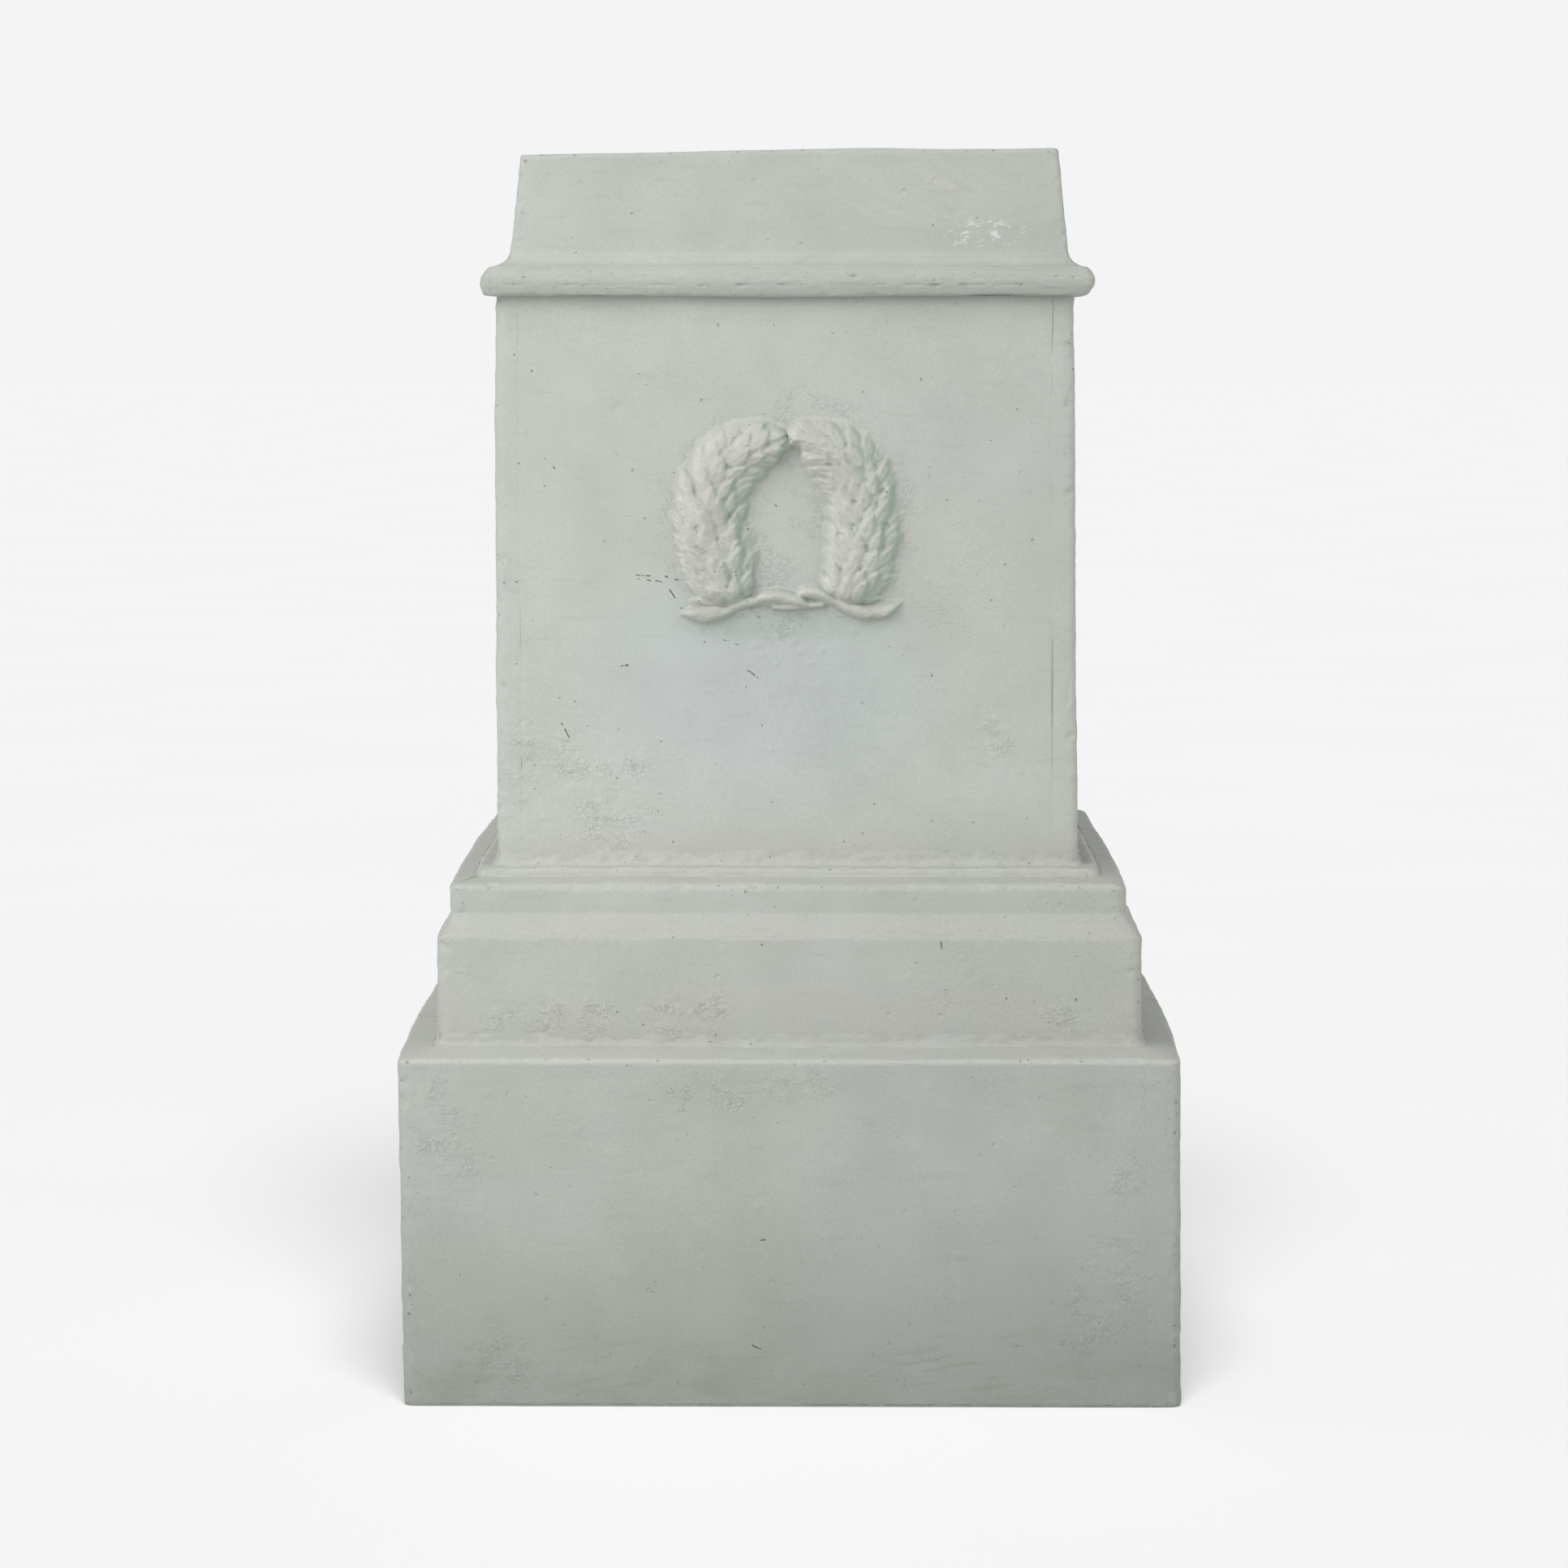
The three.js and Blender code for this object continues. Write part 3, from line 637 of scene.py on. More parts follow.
def add_leaf(height, roll, edge, x, z, place, angle, length, width, lift, crown):
    """Raises one leaf on the roll, its tip standing clear. edge falls to 0 at the roll's own edge."""
    reach = length + 2
    near = (np.abs(x - place[0]) < reach) & (np.abs(z - place[1]) < reach)
    dx, dz = x[near] - place[0], z[near] - place[1]
    along = (dx * math.cos(angle) + dz * math.sin(angle)) / length
    across = -dx * math.sin(angle) + dz * math.cos(angle)
    across = across - 0.9 * np.sin(along * 3.1) * math.sin(place[0] * 5 + place[1])
    outline = leaf_outline(along, width) + 1e-6
    inside = (along > 0) & (along < 1) & (np.abs(across) < outline)
    body = crown * np.sqrt(np.clip(1 - (across / outline) ** 2, 0, 1))
    vein = 0.55 * np.exp(-(across / 0.6) ** 2) * smoothstep(along, 0.9, 0.6)
    leaf = roll[near] + (0.2 + lift * along**1.5 + body - vein) * edge[near]
    height[near] = np.where(inside, np.maximum(height[near], leaf), height[near])


def branch_height(x, z, points, seed):
    """Height above the face of one branch: a tapering roll under rows of overlapping leaves."""
    random = np.random.default_rng(seed)
    trail = Trail(points)
    step, across, distance = trail.locate(x, z)
    half = trail.half[step]
    taper = np.interp(half, (4, 14), (0.55, 1))
    crest = np.clip(1 - across**2, 0, 1) ** 1.1
    roll = ROLL_HEIGHT * taper * crest
    height = np.where(np.abs(across) < 0.92, roll, BELOW_FACE)
    edge = smoothstep(np.abs(across), 1.22, 0.90)
    total = trail.length[-1]
    for gap, lane_rows, length, width, lift, crown in (UNDER_LEAVES, OVER_LEAVES):
        for row in range(int(total / gap)):
            for lane in random.permutation(lane_rows[row % 2]):
                here = trail.at(row * gap + random.uniform(-1.8, 1.8))
                lane = lane + random.uniform(-0.09, 0.09)
                size = np.interp(trail.half[here], (4, 16), (0.66, 1)) * random.uniform(0.84, 1.18)
                place = trail.place[here] + trail.side[here] * trail.half[here] * lane * 0.80
                heading = math.atan2(trail.tangent[here, 1], trail.tangent[here, 0])
                angle = heading + math.radians(44) * lane + random.uniform(-0.30, 0.30)
                add_leaf(height, roll, edge, x, z, place, angle, length * size, width * size, lift,
                         crown * random.uniform(0.7, 1.2))
    foot = smoothstep(z, RIBBON_BAND_Z - 9, RIBBON_BAND_Z + 9)
    outside = np.maximum(distance - half, 0) + 6 * (1 - foot)
    return np.where(height > 0, height * foot, height), outside


def ribbon_height(x, z):
    """Height of the bow: flat strands that twist over one another."""
    height = np.full(x.shape, BELOW_FACE)
    outside = np.full(x.shape, 99)
    for rise, tilt, points in RIBBON:
        trail = Trail(points)
        step, across, distance = trail.locate(x, z)
        half = trail.half[step]
        body = np.clip(1 - across**2, 0, 1) ** 0.5
        strand = rise * (0.35 + 0.65 * np.clip(half / 4, 0, 1)) * body + tilt * across * body
        height = np.where(np.abs(across) < 1, np.maximum(height, strand), height)
        outside = np.minimum(outside, np.maximum(distance - half, 0))
    return height, outside


def shaft_face(x, z):
    """The y of the shaft's front face, with its unevenness."""
    half = np.interp(z, (SHAFT_FOOT_Z, SHAFT_HEAD_Z), (SHAFT_FOOT_HALF, SHAFT_HEAD_HALF))
    points = np.stack([x - shift_at(z), -half, z], axis=2).reshape(-1, 3)
    out = push(points, np.zeros(len(points)), rough_share(points))
    return -half - out.reshape(x.shape)


def build_relief(node, height_of, coat):
    """One cast piece of the wreath, bedded in the face, with plaster smeared round its edge."""
    lowest, highest = box(node)
    lowest, highest = lowest - RELIEF_MARGIN, highest + RELIEF_MARGIN
    spans = [np.arange(lowest[axis], highest[axis], WREATH_STEP) for axis in (0, 2)]
    x, z = np.meshgrid(*spans, indexing="ij")
    height, outside = height_of(x, z)
    points = np.stack([x, np.full(x.shape, -SHAFT_HEAD_HALF), z], axis=2).reshape(-1, 3)
    smear = 0.95 * np.exp(-((outside / 2) ** 1.3)) - 0.45
    smear += 0.28 * noise(points, 4.5, 21).reshape(x.shape)
    height = blurred(np.maximum(height, smear), 0.46)
    height = height + waves(points, CAST_WAVES).reshape(x.shape) * smoothstep(height, 0, 3)
    recess = np.clip((blurred(height, 1.7) - height) / 1.1, -1, 1)
    slope_x, slope_z = np.gradient(blurred(height, 1.2), WREATH_STEP)
    # Painted light and shade on the wreath's sides: above 0 where a slope faces right, or faces down low on
    # the ribbon (painted shade), below 0 where it faces left (painted highlight).
    painted_side_shading = np.clip(-slope_x, -1, 1) + 0.5 * np.clip(slope_z, 0, 1) * smoothstep(z, 420, 412)
    face = shaft_face(x, z)
    top = np.stack([x, face - height, z], axis=2)
    back = np.stack([x, face + BED_DEPTH, z], axis=2)
    keep = np.all(cell_corners(height > -0.3), axis=0)
    solid, faces, used = grid_solid(top, back, keep)
    fields = {"recess": recess, "painted_side_shading": painted_side_shading, "proud": smoothstep(height, 0.4, 3)}
    shares = {name: np.tile(field.ravel(), 2)[used] for name, field in fields.items()}
    add_piece(node, solid, faces, coat, shares)


def build_wreath(coat):
    build_relief("wreath_left_branch", lambda x, z: branch_height(x, z, LEFT_BRANCH, 5), coat)
    build_relief("wreath_right_branch", lambda x, z: branch_height(x, z, RIGHT_BRANCH, 9), coat)
    build_relief("wreath_ribbon", ribbon_height, coat)


# ---- Colours and places of the paint ----

# Colours, as display values from 0 to 255.
BODY_GREEN = (166, 172, 164)
BODY_GREY = (169, 173, 167)
BODY_BLUE = (166, 171, 171)
BODY_PINK = (171, 170, 165)
DIRT = (118, 123, 113)
CRACK_DARK = (60, 62, 56)
CHALK = (212, 213, 209)
# Painted highlight on the wreath's left-facing sides.
WREATH_PAINTED_HIGHLIGHT = (190, 190, 183)
WREATH_LIGHT = (170, 172, 166)
WREATH_WARM = (167, 168, 161)
# A grey-green that is both paint and painted shade: under the ribbon, in the wreath's creases and on its
# right-facing sides.
GREEN_PAINT_AND_SHADE = (138, 157, 142)
WREATH_OCHRE = (176, 170, 148)
WOOD_LIGHT = (196, 164, 118)
WOOD_DARK = (160, 118, 74)
WOOD_GREY = (150, 138, 120)
FLOOR_WHITE = (242, 242, 242)
FLOOR_PALE = (241, 241, 241)

# Spots on the front, as (x, z, reach in x, reach in z).
BLUISH_SPOT = (-17, 367, 105, 75)
# A painted shadow, in darker green, under the wreath's ribbon.
PAINTED_RIBBON_SHADOW = (-6, 398, 64, 9)
WASHED_SPOT = (68, 622, 58, 22)
DRAGGED_SPOTS = ((110, 20, 105, 25), (-60, 18, 130, 22))
WREATH_HALO = (0, 455, 82, 78)
SCUFFED_SPOT = (100, 601, 28, 10)
CRUMBLED_SPOTS = ((-33, 424, 11, 14), (-20, 407.5, 13, 6))

# Bands of height, as (starts, full from, full to, ends).
PINKISH_BANDS = ((168, 186, 200, 230), (263, 269, 276, 305), (237, 241, 248, 253))
BASE_LEDGE_BAND = (177, 179.5, 182, 186)
NOSE_BAND = (562, 566, 584, 588)

# How the colour's brightness changes with height, as (from, to, level past it): darker toward the shaft's
# foot and toward the bottom of the base; a step darker from just under the base's ledge, placed over its
# rounded arris as painted shade where it catches the light; painted shade over the bull nose to tone down its
# highlight, back up above it; and a little darker on the cap.
FADES = (
    (300, 240, 0.90), (150, -30, 0.675), (179.5, 176.5, 0.92), (562, 567, 0.94), (571, 575, 0.95),
    (582, 586, 1.09), (592, 600, 0.975),
)
# Painted light: the base's ledge top is made lighter.
LEDGE_PAINTED_LIGHT = 1.07
# Painted light on the pedestal's left side and painted shade on its right.
LEFT_PAINTED_LIGHT = 1.06
RIGHT_PAINTED_SHADE = 0.92

# Hairline cracks in the paint, as (x, z, x, z), and how wide they are.
CRACKS = (
    (-79, 424.5, -70.5, 424.5), (-78, 422.6, -66, 421.2), (-64, 424, -57.5, 422.2),
    (-62, 417.5, -58.5, 412), (-57.5, 410, -54, 405), (-35, 391.5, -26.5, 389), (-21.5, 375.5, -16, 371.2),
    (-87, 377.5, -83.5, 378), (-14, 86.8, -9, 87.6), (95.5, 296.5, 98.5, 300.5), (-18.5, 32, -14.5, 30.5),
    (-129, 488, -121, 480), (78, 240, 78.4, 235), (-118, 348, -112, 336),
)
CRACK_WIDTH = 0.42

# Two lines that the mould left round the cap's foot.
MOULD_LINES = (CAP_FOOT_Z + 2.4, CAP_FOOT_Z + 4.2)


# ---- Materials ----

def rgb(red, green, blue):
    """A linear colour from 0-255 display values."""
    values = [channel / 255 for channel in (red, green, blue)]
    return tuple(v / 12.92 if v <= 0.04045 else ((v + 0.055) / 1.055) ** 2.4 for v in values) + (1,)


class Paint:
    """Builds a material's nodes, coat by coat. Every length in it is in millimetres."""

    def __init__(self, name, colour=BODY_GREEN):
        self.material = bpy.data.materials.new(name)
        self.material.use_nodes = True
        self.tree = self.material.node_tree
        self.shader = self.tree.nodes["Principled BSDF"]
        self.place = self.scaled(self.add("TexCoord", output="Object"), 1 / MM)
        self.x, self.y, self.z = self.add("SeparateXYZ", {0: self.place}).node.outputs
        wander = self.add("TexNoise", {"Vector": self.place, "Scale": 0.4, "Detail": 2}, "Color")
        self.bent = self.vector("MULTIPLY_ADD", wander, (2.4, 2.4, 2.4), self.place)
        self.colour = rgb(*colour)

    def add(self, kind, inputs=None, output=0, **settings):
        node = self.tree.nodes.new("ShaderNode" + kind)
        for key, value in settings.items():
            setattr(node, key, value)
        for key, value in (inputs or {}).items():
            if isinstance(value, bpy.types.NodeSocket):
                self.tree.links.new(value, node.inputs[key])
            else:
                node.inputs[key].default_value = value
        return node.outputs[output]

    def share(self, name):
        """Numbers that a mesh holds for this material."""
        return self.add("Attribute", output="Fac", attribute_name=name)

    def math(self, operation, first, *others):
        for other in others:
            first = self.add("Math", {0: first, 1: other}, operation=operation)
        return first

    def times(self, *values):
        return self.math("MULTIPLY", *values)

    def plus(self, *values):
        return self.math("ADD", *values)

    def most(self, *values):
        return self.math("MAXIMUM", *values)

    def vector(self, operation, *values, output=0):
        return self.add("VectorMath", dict(enumerate(values)), output, operation=operation)

    def scaled(self, vector, value):
        return self.add("VectorMath", {0: vector, "Scale": value}, operation="SCALE")

    def ramp(self, value, start, end, low_value=0, high_value=1):
        """A smooth rise from low_value to high_value as value goes from start to end."""
        inputs = dict(enumerate((value, start, end, low_value, high_value)))
        return self.add("MapRange", inputs, interpolation_type="SMOOTHSTEP")

    def grain(self, size, detail=2, roughness=0.5, stretch=(1, 1, 1), turn=(0, 0, 0), move=(0, 0, 0)):
        """Noise from 0 to 1 whose blobs are about size across."""
        angles = tuple(math.radians(a) for a in turn)
        inputs = {0: self.place, "Location": move, "Rotation": angles, "Scale": stretch}
        mapped = self.add("Mapping", inputs, vector_type="TEXTURE")
        inputs = {"Vector": mapped, "Scale": 1 / size, "Detail": detail, "Roughness": roughness}
        return self.add("TexNoise", inputs)

    def patches(self, low, high, *grain, **changes):
        """1 where the noise is above high, 0 where it is under low."""
        return self.ramp(self.grain(*grain, **changes), low, high)

    def band(self, starts, full_from, full_to, ends):
        """1 between two heights."""
        return self.times(self.ramp(self.z, starts, full_from), self.ramp(self.z, ends, full_to))

    def on_front(self):
        return self.ramp(self.y, -110, -130)

    def near(self, x, z, reach_x, reach_z):
        """1 at a spot on the front, falling to 0 at its edge."""
        along = self.math("DIVIDE", self.plus(self.x, -x), reach_x)
        up = self.math("DIVIDE", self.plus(self.z, -z), reach_z)
        away = self.plus(self.times(along, along), self.times(up, up))
        return self.times(self.ramp(away, 1, 0), self.on_front())

    def pinholes(self, cell, radius, kept, floor=0.55):
        """1 inside small pores. kept is the share of cells that have one, floor how much of each is flat."""
        near = self.add("TexVoronoi", {"Vector": self.bent, "Scale": 1 / cell}, "Distance")
        chance = self.add("SeparateColor", {0: near.node.outputs["Color"]})
        size = self.times(self.ramp(chance.node.outputs["Green"], 0, 1, 0.45, 1), radius / cell)
        inside = self.ramp(self.math("DIVIDE", near, size), 1, floor)
        return self.times(inside, self.math("LESS_THAN", chance, kept))

    def crackle(self, cell, width):
        """1 along a wandering network of fine cracks."""
        inputs = {"Vector": self.bent, "Scale": 1 / cell}
        away = self.add("TexVoronoi", inputs, feature="DISTANCE_TO_EDGE")
        return self.ramp(away, width / cell, width / cell * 0.25)

    def cracks(self, lines, width):
        """1 along hairline cracks on the front, each given as (x, z, x, z)."""
        wander = self.times(self.plus(self.grain(3, 3), -0.5), 2.2)
        place = self.add("CombineXYZ", {0: self.x, 1: self.plus(self.z, wander), 2: 0})
        distances = []
        for x_a, z_a, x_b, z_b in lines:
            run = Vector((x_b - x_a, z_b - z_a, 0))
            offset = self.vector("SUBTRACT", place, (x_a, z_a, 0))
            along = self.vector("DOT_PRODUCT", offset, tuple(run / run.length_squared), output="Value")
            foot = self.scaled(tuple(run), self.add("Clamp", {0: along}))
            distances.append(self.vector("DISTANCE", offset, foot, output="Value"))
        line = self.ramp(self.math("MINIMUM", *distances), width, width * 0.3)
        return self.times(line, self.patches(0.45, 0.53, 3, 1, move=(31, 7, 12)), self.on_front())

    def mix(self, share, a, b):
        return self.add("Mix", {0: share, 6: a, 7: b}, output=2, data_type="RGBA")

    def tint(self, shade, share, amount=1):
        """Lays a display colour over the coats so far."""
        self.colour = self.mix(self.times(share, amount), self.colour, rgb(*shade))

    def brighten(self, level):
        """Makes the coats so far lighter or darker by a number."""
        self.colour = self.scaled(self.colour, level)

    def relief(self, *layers):
        """Sends layers of (share, height in millimetres) to the shader's normal."""
        height = self.plus(*(self.times(share, rise) for share, rise in layers))
        normal = self.add("Bump", {"Strength": 1, "Distance": MM, "Height": height})
        self.tree.links.new(normal, self.shader.inputs["Normal"])

    def finish(self, roughness, specular):
        self.tree.links.new(self.colour, self.shader.inputs["Base Color"])
        self.tree.links.new(roughness, self.shader.inputs["Roughness"])
        self.shader.inputs["Specular IOR Level"].default_value = specular
        return self.material


def distemper(paint):
    """The old paint over the whole pedestal: clouded, pinkish at the ledges, darker low down, with a painted
    shadow under the wreath's ribbon, painted light on the base's ledge, painted shade over the base's arris
    and the bull nose, and painted light on the left falling to painted shade on the right.
    """
    paint.colour = rgb(*BODY_GREEN)
    paint.tint(BODY_GREY, paint.patches(0.35, 0.68, 150))
    paint.tint(BODY_BLUE, paint.near(*BLUISH_SPOT), 0.75)
    shade = paint.ramp(paint.grain(9, 3), 0.30, 0.60, 0.4, 1)
    # Painted shadow: a darker green band under the ribbon.
    paint.tint(GREEN_PAINT_AND_SHADE, paint.times(paint.near(*PAINTED_RIBBON_SHADOW), shade), 0.42)
    cloud = paint.grain(38, 4, 0.6)
    paint.brighten(paint.ramp(cloud, 0.25, 0.75, 0.955, 1.035))
    ledges = paint.plus(*(paint.band(*heights) for heights in PINKISH_BANDS))
    paint.tint(BODY_PINK, ledges, paint.ramp(paint.grain(45, move=(9, 4, 60)), 0.30, 0.60, 0.15, 0.85))
    # Fades by height, with painted shade over the base's arris and the bull nose.
    levels = [paint.ramp(paint.z, start, end, 1, level) for start, end, level in FADES]
    # Painted light on the base's ledge top.
    levels.append(paint.ramp(paint.band(*BASE_LEDGE_BAND), 0, 1, 1, LEDGE_PAINTED_LIGHT))
    # Painted light on the left, falling to painted shade on the right.
    levels.append(paint.ramp(paint.x, -BASE_HALF, BASE_HALF, LEFT_PAINTED_LIGHT, RIGHT_PAINTED_SHADE))
    paint.brighten(paint.times(*levels))
    return cloud


def painted_plaster():
    """Old grey-green distemper, thin enough for the plaster's flaws to show."""
    paint = Paint("painted_plaster")
    cloud = distemper(paint)

    brushed = paint.patches(0.42, 0.62, 7, 3, stretch=(5, 5, 0.5), turn=(0, 28, 0))
    paint.tint(BODY_PINK, paint.times(paint.near(*WASHED_SPOT), brushed), 0.55)
    soiled = paint.patches(0.42, 0.66, 16, 4, 0.65, stretch=(3, 3, 1))
    paint.tint(DIRT, paint.times(paint.ramp(paint.z, 45, 4), soiled), 0.50)
    dragged = paint.patches(0.52, 0.70, 3.2, 3, 0.6, stretch=(9, 9, 1), turn=(0, -7, 0))
    strong, weak = (paint.near(*spot) for spot in DRAGGED_SPOTS)
    paint.tint(DIRT, paint.times(dragged, paint.most(strong, paint.times(weak, 0.6))), 0.70)
    paint.tint(DIRT, paint.patches(0.55, 0.72, 5, 3, 0.6, stretch=(6, 6, 1)), 0.10)
    halo = paint.near(*WREATH_HALO)
    paint.tint(WREATH_LIGHT, halo, 0.22)

    rough = paint.times(paint.share("rough"), paint.patches(0.40, 0.58, 10, 3, 0.6, stretch=(2.2, 2.2, 1)))
    crazed = paint.times(paint.crackle(2.6, 0.34), paint.patches(0.44, 0.60, 6, move=(5, 60, 2)), rough)
    paint.tint(DIRT, crazed, 0.07)
    paint.brighten(paint.ramp(rough, 0.1, 0.9, 1, 1.06))
    paint.brighten(paint.ramp(paint.grain(1.4, 2, 0.7), 0.2, 0.8, 0.94, 1.05))
    arris = paint.share("arris")
    # Lighter patches along the arrises: partly worn paint, partly a painted highlight where the edges catch
    # the light.
    paint.tint(WREATH_LIGHT, paint.times(arris, paint.patches(0.45, 0.62, 6, 3, 0.6)), 0.12)
    chips = paint.times(arris, paint.pinholes(4.4, 0.95, 0.42))
    scuffs = paint.patches(0.56, 0.64, 2.4, 3, 0.6, stretch=(2, 2, 1), turn=(0, -16, 0))
    scuffed = paint.times(paint.near(*SCUFFED_SPOT), scuffs)
    paint.tint(CHALK, scuffed, 0.50)

    pores = paint.pinholes(7.4, 0.62, 0.32)
    pocks = paint.pinholes(19, 2.5, 0.8, 0.15)
    crowd = paint.ramp(paint.grain(34, move=(70, 2, 9)), 0.48, 0.66, 0.05, 0.60)
    tiny = paint.pinholes(4.3, 0.50, paint.plus(crowd, paint.times(paint.band(*NOSE_BAND), 0.3)))
    holes = paint.most(pores, paint.times(tiny, 0.7), paint.times(chips, 0.8))
    settling = paint.times(paint.crackle(85, 0.34), paint.patches(0.56, 0.64, 45, 3, move=(11, 5, 70)))
    settling = paint.times(settling, paint.ramp(paint.y, -138, -120), 0.7)
    fissures = paint.most(paint.cracks(CRACKS, CRACK_WIDTH), settling)
    paint.tint(CRACK_DARK, paint.most(paint.times(holes, 0.55), paint.times(fissures, 0.85)))

    strokes = paint.grain(1.5, 2, 0.5, stretch=(16, 16, 1), turn=(0, 3, 0))
    flaky = paint.times(paint.patches(0.44, 0.56, 2, 3, 0.65, move=(8, 8, 8)), rough)
    crumbs = paint.times(paint.patches(0.50, 0.60, 2.2, 3, 0.65), paint.ramp(halo, 0.05, 0.35))
    crumbs = paint.times(crumbs, paint.patches(0.42, 0.56, 17, move=(2, 31, 5)))
    layers = [(strokes, 0.030), (paint.grain(0.9, 3, 0.6), 0.045), (paint.grain(3.4), 0.08), (flaky, 0.25),
              (crazed, -0.14), (crumbs, 0.20), (holes, -0.30), (pocks, -0.38), (fissures, -0.35),
              (scuffed, 0.03)]
    for height in MOULD_LINES:
        away = paint.math("ABSOLUTE", paint.plus(paint.z, -height), 0)
        layers.append((paint.ramp(away, 0.7, 0.1), -0.16))
    paint.relief(*layers)
    gloss = paint.ramp(cloud, 0.3, 0.7, 0.50, 0.68)
    return paint.finish(paint.plus(gloss, paint.times(rough, 0.12)), 0.35)


def wreath_plaster():
    """Warm white cast plaster with grey-green paint left in its hollows and dragged over its edge, painted
    shade in its creases, and painted light and shade on its sides.
    """
    paint = Paint("wreath_plaster", WREATH_LIGHT)
    paint.tint(WREATH_WARM, paint.patches(0.35, 0.65, 24, 3))
    # Darker grey-green in the hollows: partly paint left in them, partly painted shade in the creases.
    hollow = paint.ramp(paint.share("recess"), 0.10, 0.90)
    paint.tint(GREEN_PAINT_AND_SHADE, paint.times(hollow, paint.ramp(paint.grain(9, 3), 0.3, 0.6, 0.35, 1)), 0.65)
    # The sides are painted lighter where they face left, as a painted highlight, and greener where they face
    # right or down, as painted shade.
    painted_side_shading = paint.share("painted_side_shading")
    paint.tint(WREATH_PAINTED_HIGHLIGHT, paint.ramp(painted_side_shading, -0.15, -1), 0.80)
    paint.tint(GREEN_PAINT_AND_SHADE, paint.ramp(painted_side_shading, 0.10, 0.9), 0.58)
    paint.tint(WREATH_OCHRE, paint.patches(0.62, 0.76, 5, move=(3, 50, 8)), 0.35)
    cast = paint.colour
    distemper(paint)
    paint.tint(WREATH_LIGHT, 0.5)
    paint.colour = paint.mix(paint.share("proud"), paint.colour, cast)
    paint.brighten(paint.ramp(paint.grain(1.6, 3, 0.7), 0.2, 0.8, 0.95, 1.04))
    crumbled = paint.most(*(paint.near(*spot) for spot in CRUMBLED_SPOTS))
    crumbled = paint.times(paint.pinholes(2.7, 0.66, 0.50), crumbled)
    pores = paint.most(paint.pinholes(4.2, 0.48, 0.45), crumbled)
    paint.tint(CRACK_DARK, pores, 0.75)
    worn = paint.patches(0.44, 0.58, 1.9, 3, 0.65, move=(4, 9, 2))
    paint.relief((paint.grain(0.8, 3, 0.6), 0.07), (paint.grain(2.6), 0.22), (worn, 0.10), (pores, -0.30))
    return paint.finish(paint.ramp(paint.grain(12), 0.3, 0.7, 0.48, 0.66), 0.4)


def putty():
    """Filler smeared into the corners and painted over."""
    paint = Paint("putty")
    distemper(paint)
    paint.tint(DIRT, paint.patches(0.48, 0.68, 5, 4, 0.65, stretch=(2, 2, 1)), 0.14)
    paint.brighten(paint.ramp(paint.grain(1.5, 2, 0.7), 0.2, 0.8, 0.955, 1.035))
    pores = paint.pinholes(5, 0.52, 0.45)
    paint.tint(CRACK_DARK, pores, 0.6)
    dabs = paint.grain(2.4, 3, 0.6, stretch=(3, 3, 1))
    paint.relief((dabs, 0.22), (paint.grain(0.9, 3, 0.6), 0.06), (pores, -0.30))
    return paint.finish(paint.ramp(paint.grain(10), 0.3, 0.7, 0.58, 0.76), 0.3)


def timber(along):
    """Rough-sawn softwood, its grain running along x or z."""
    paint = Paint("timber_" + along, WOOD_LIGHT)
    stretch = {"x": (14, 1, 1), "z": (1, 1, 14)}[along]
    rings = paint.grain(7, 3, 0.6, stretch=stretch)
    bands = paint.math("FRACT", paint.times(rings, 7), 0)
    late = paint.times(paint.ramp(bands, 0.35, 0.80), paint.ramp(bands, 1, 0.92))
    paint.tint(WOOD_DARK, late)
    paint.tint(WOOD_GREY, paint.patches(0.40, 0.65, 60, 3), 0.45)
    fibres = paint.grain(0.8, 2, 0.6, stretch=stretch)
    paint.brighten(paint.ramp(fibres, 0.25, 0.75, 0.86, 1.10))
    paint.relief((late, 0.10), (fibres, 0.20))
    return paint.finish(paint.ramp(fibres, 0.3, 0.7, 0.62, 0.85), 0.3)


def floor_paint():
    paint = Paint("floor", FLOOR_WHITE)
    paint.tint(FLOOR_PALE, paint.patches(0.3, 0.7, 400))
    return paint.finish(paint.ramp(paint.grain(90), 0.3, 0.7, 0.9, 0.95), 0)


# ---- Stage ----

FLOOR_REACH = 40
SKY_RADIANCE = 0.904
SKY_ABOVE = 0.20
SKY_DIMS_FROM = 0.20
SKY_DIMS_TO = 0.50


def build_floor():
    mesh = bpy.data.meshes.new("floor")
    corners = [(x * FLOOR_REACH, y * FLOOR_REACH, 0) for x, y in ((-1, -1), (1, -1), (1, 1), (-1, 1))]
    mesh.from_pydata(corners, [], [(0, 1, 2, 3)])
    mesh.materials.append(floor_paint())
    floor = placed_object("floor", mesh)
    return floor


def build_sky():
    """Even, pale surroundings that are dimmer overhead."""
    world = bpy.data.worlds.new("studio")
    world.use_nodes = True
    nodes, links = world.node_tree.nodes, world.node_tree.links
    parts = nodes.new("ShaderNodeSeparateXYZ")
    links.new(nodes.new("ShaderNodeTexCoord").outputs["Generated"], parts.inputs[0])
    level = nodes.new("ShaderNodeMapRange")
    level.interpolation_type = "SMOOTHSTEP"
    links.new(parts.outputs["Z"], level.inputs["Value"])
    for i, value in enumerate((SKY_DIMS_FROM, SKY_DIMS_TO, SKY_RADIANCE, SKY_ABOVE), 1):
        level.inputs[i].default_value = value
    nodes["Background"].inputs["Color"].default_value = (1, 1, 1, 1)
    links.new(level.outputs[0], nodes["Background"].inputs["Strength"])
    bpy.context.scene.world = world


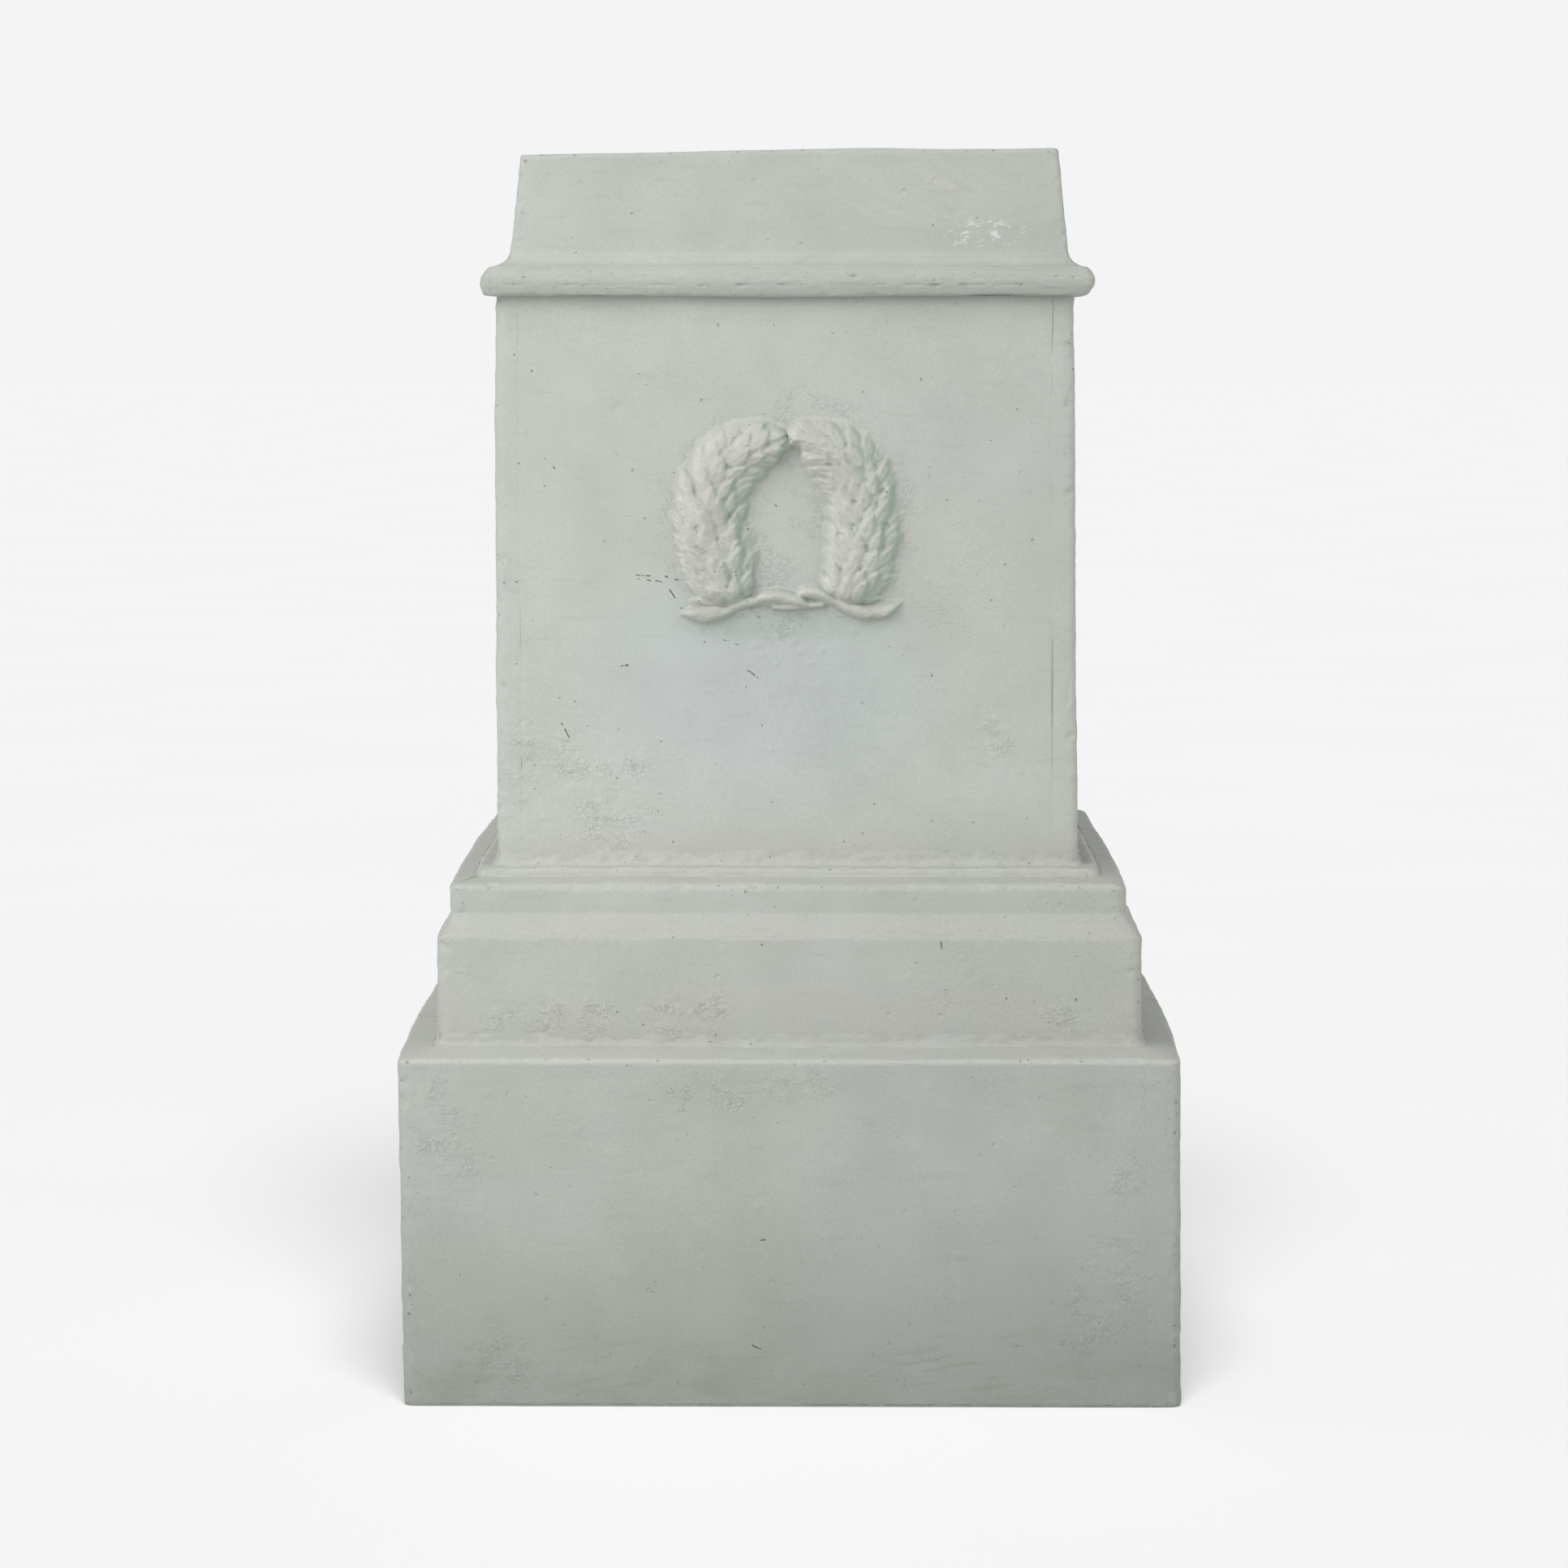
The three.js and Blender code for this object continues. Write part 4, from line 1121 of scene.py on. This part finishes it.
def build_lamp(name, azimuth, elevation, softness, strength, only=None):
    """A soft distant lamp. Azimuth 0 is in front of the pedestal and positive to its right, in degrees.
    only is the collection it lights: the studio's side lamps are flagged off the floor."""
    lamp = bpy.data.lights.new(name, "SUN")
    lamp.energy = strength
    lamp.angle = math.radians(softness)
    a, e = math.radians(azimuth), math.radians(elevation)
    toward = Vector((math.sin(a) * math.cos(e), -math.cos(a) * math.cos(e), math.sin(e)))
    light = placed_object(name, lamp)
    light.rotation_mode = "QUATERNION"
    light.rotation_quaternion = toward.to_track_quat("Z", "Y")
    if only:
        light.light_linking.receiver_collection = only


def lit_group(name, things):
    """A collection of the objects that a lamp lights."""
    group = bpy.data.collections.new(name)
    for thing in things:
        group.objects.link(thing)
    return group


CAMERA_PLACE = (0.0159, -2.4067, 0.5528)
CAMERA_LENS = 100.4
CAMERA_PITCH = 4.75
CAMERA_YAW = 0.474
CAMERA_SHIFT_Y = -0.06


def build_camera():
    camera = bpy.data.cameras.new("camera")
    camera.lens = CAMERA_LENS
    camera.sensor_width = 36
    camera.shift_y = CAMERA_SHIFT_Y
    camera.clip_start = 0.05
    camera.clip_end = 100
    holder = placed_object("camera", camera)
    holder.location = CAMERA_PLACE
    holder.rotation_euler = (math.radians(90 - CAMERA_PITCH), 0, math.radians(CAMERA_YAW))
    bpy.context.scene.camera = holder


# ---- Everything together ----

def paint_timber():
    """The timber inside keeps its CAD shapes and gets a wood material whose grain runs along each piece."""
    woods = {along: timber(along) for along in ("x", "z")}
    for name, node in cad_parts.items():
        if "batten" in name or "block" in name or "deck" in name:
            node.data.materials.clear()
            node.data.materials.append(woods["x" if "deck" in name else "z"])


plaster = (painted_plaster(), "painted_plaster")
build_courses(plaster, (putty(), "putty"))
build_top_slab(plaster)
build_wreath((wreath_plaster(), "wreath_plaster"))
paint_timber()
pedestal = lit_group("pedestal", [thing for thing in bpy.data.objects if thing.type == "MESH"])
ground = lit_group("ground", [build_floor()])
build_sky()
build_lamp("floor_light", 2, 56, 36, 2.79, ground)
build_lamp("overhead", 0, 78, 70, 0.80, pedestal)
build_lamp("key", -41, 36, 50, 2.13, pedestal)
build_lamp("fill", 56, 34, 60, 0.86, pedestal)
build_camera()
bpy.context.scene.view_settings.view_transform = "Standard"
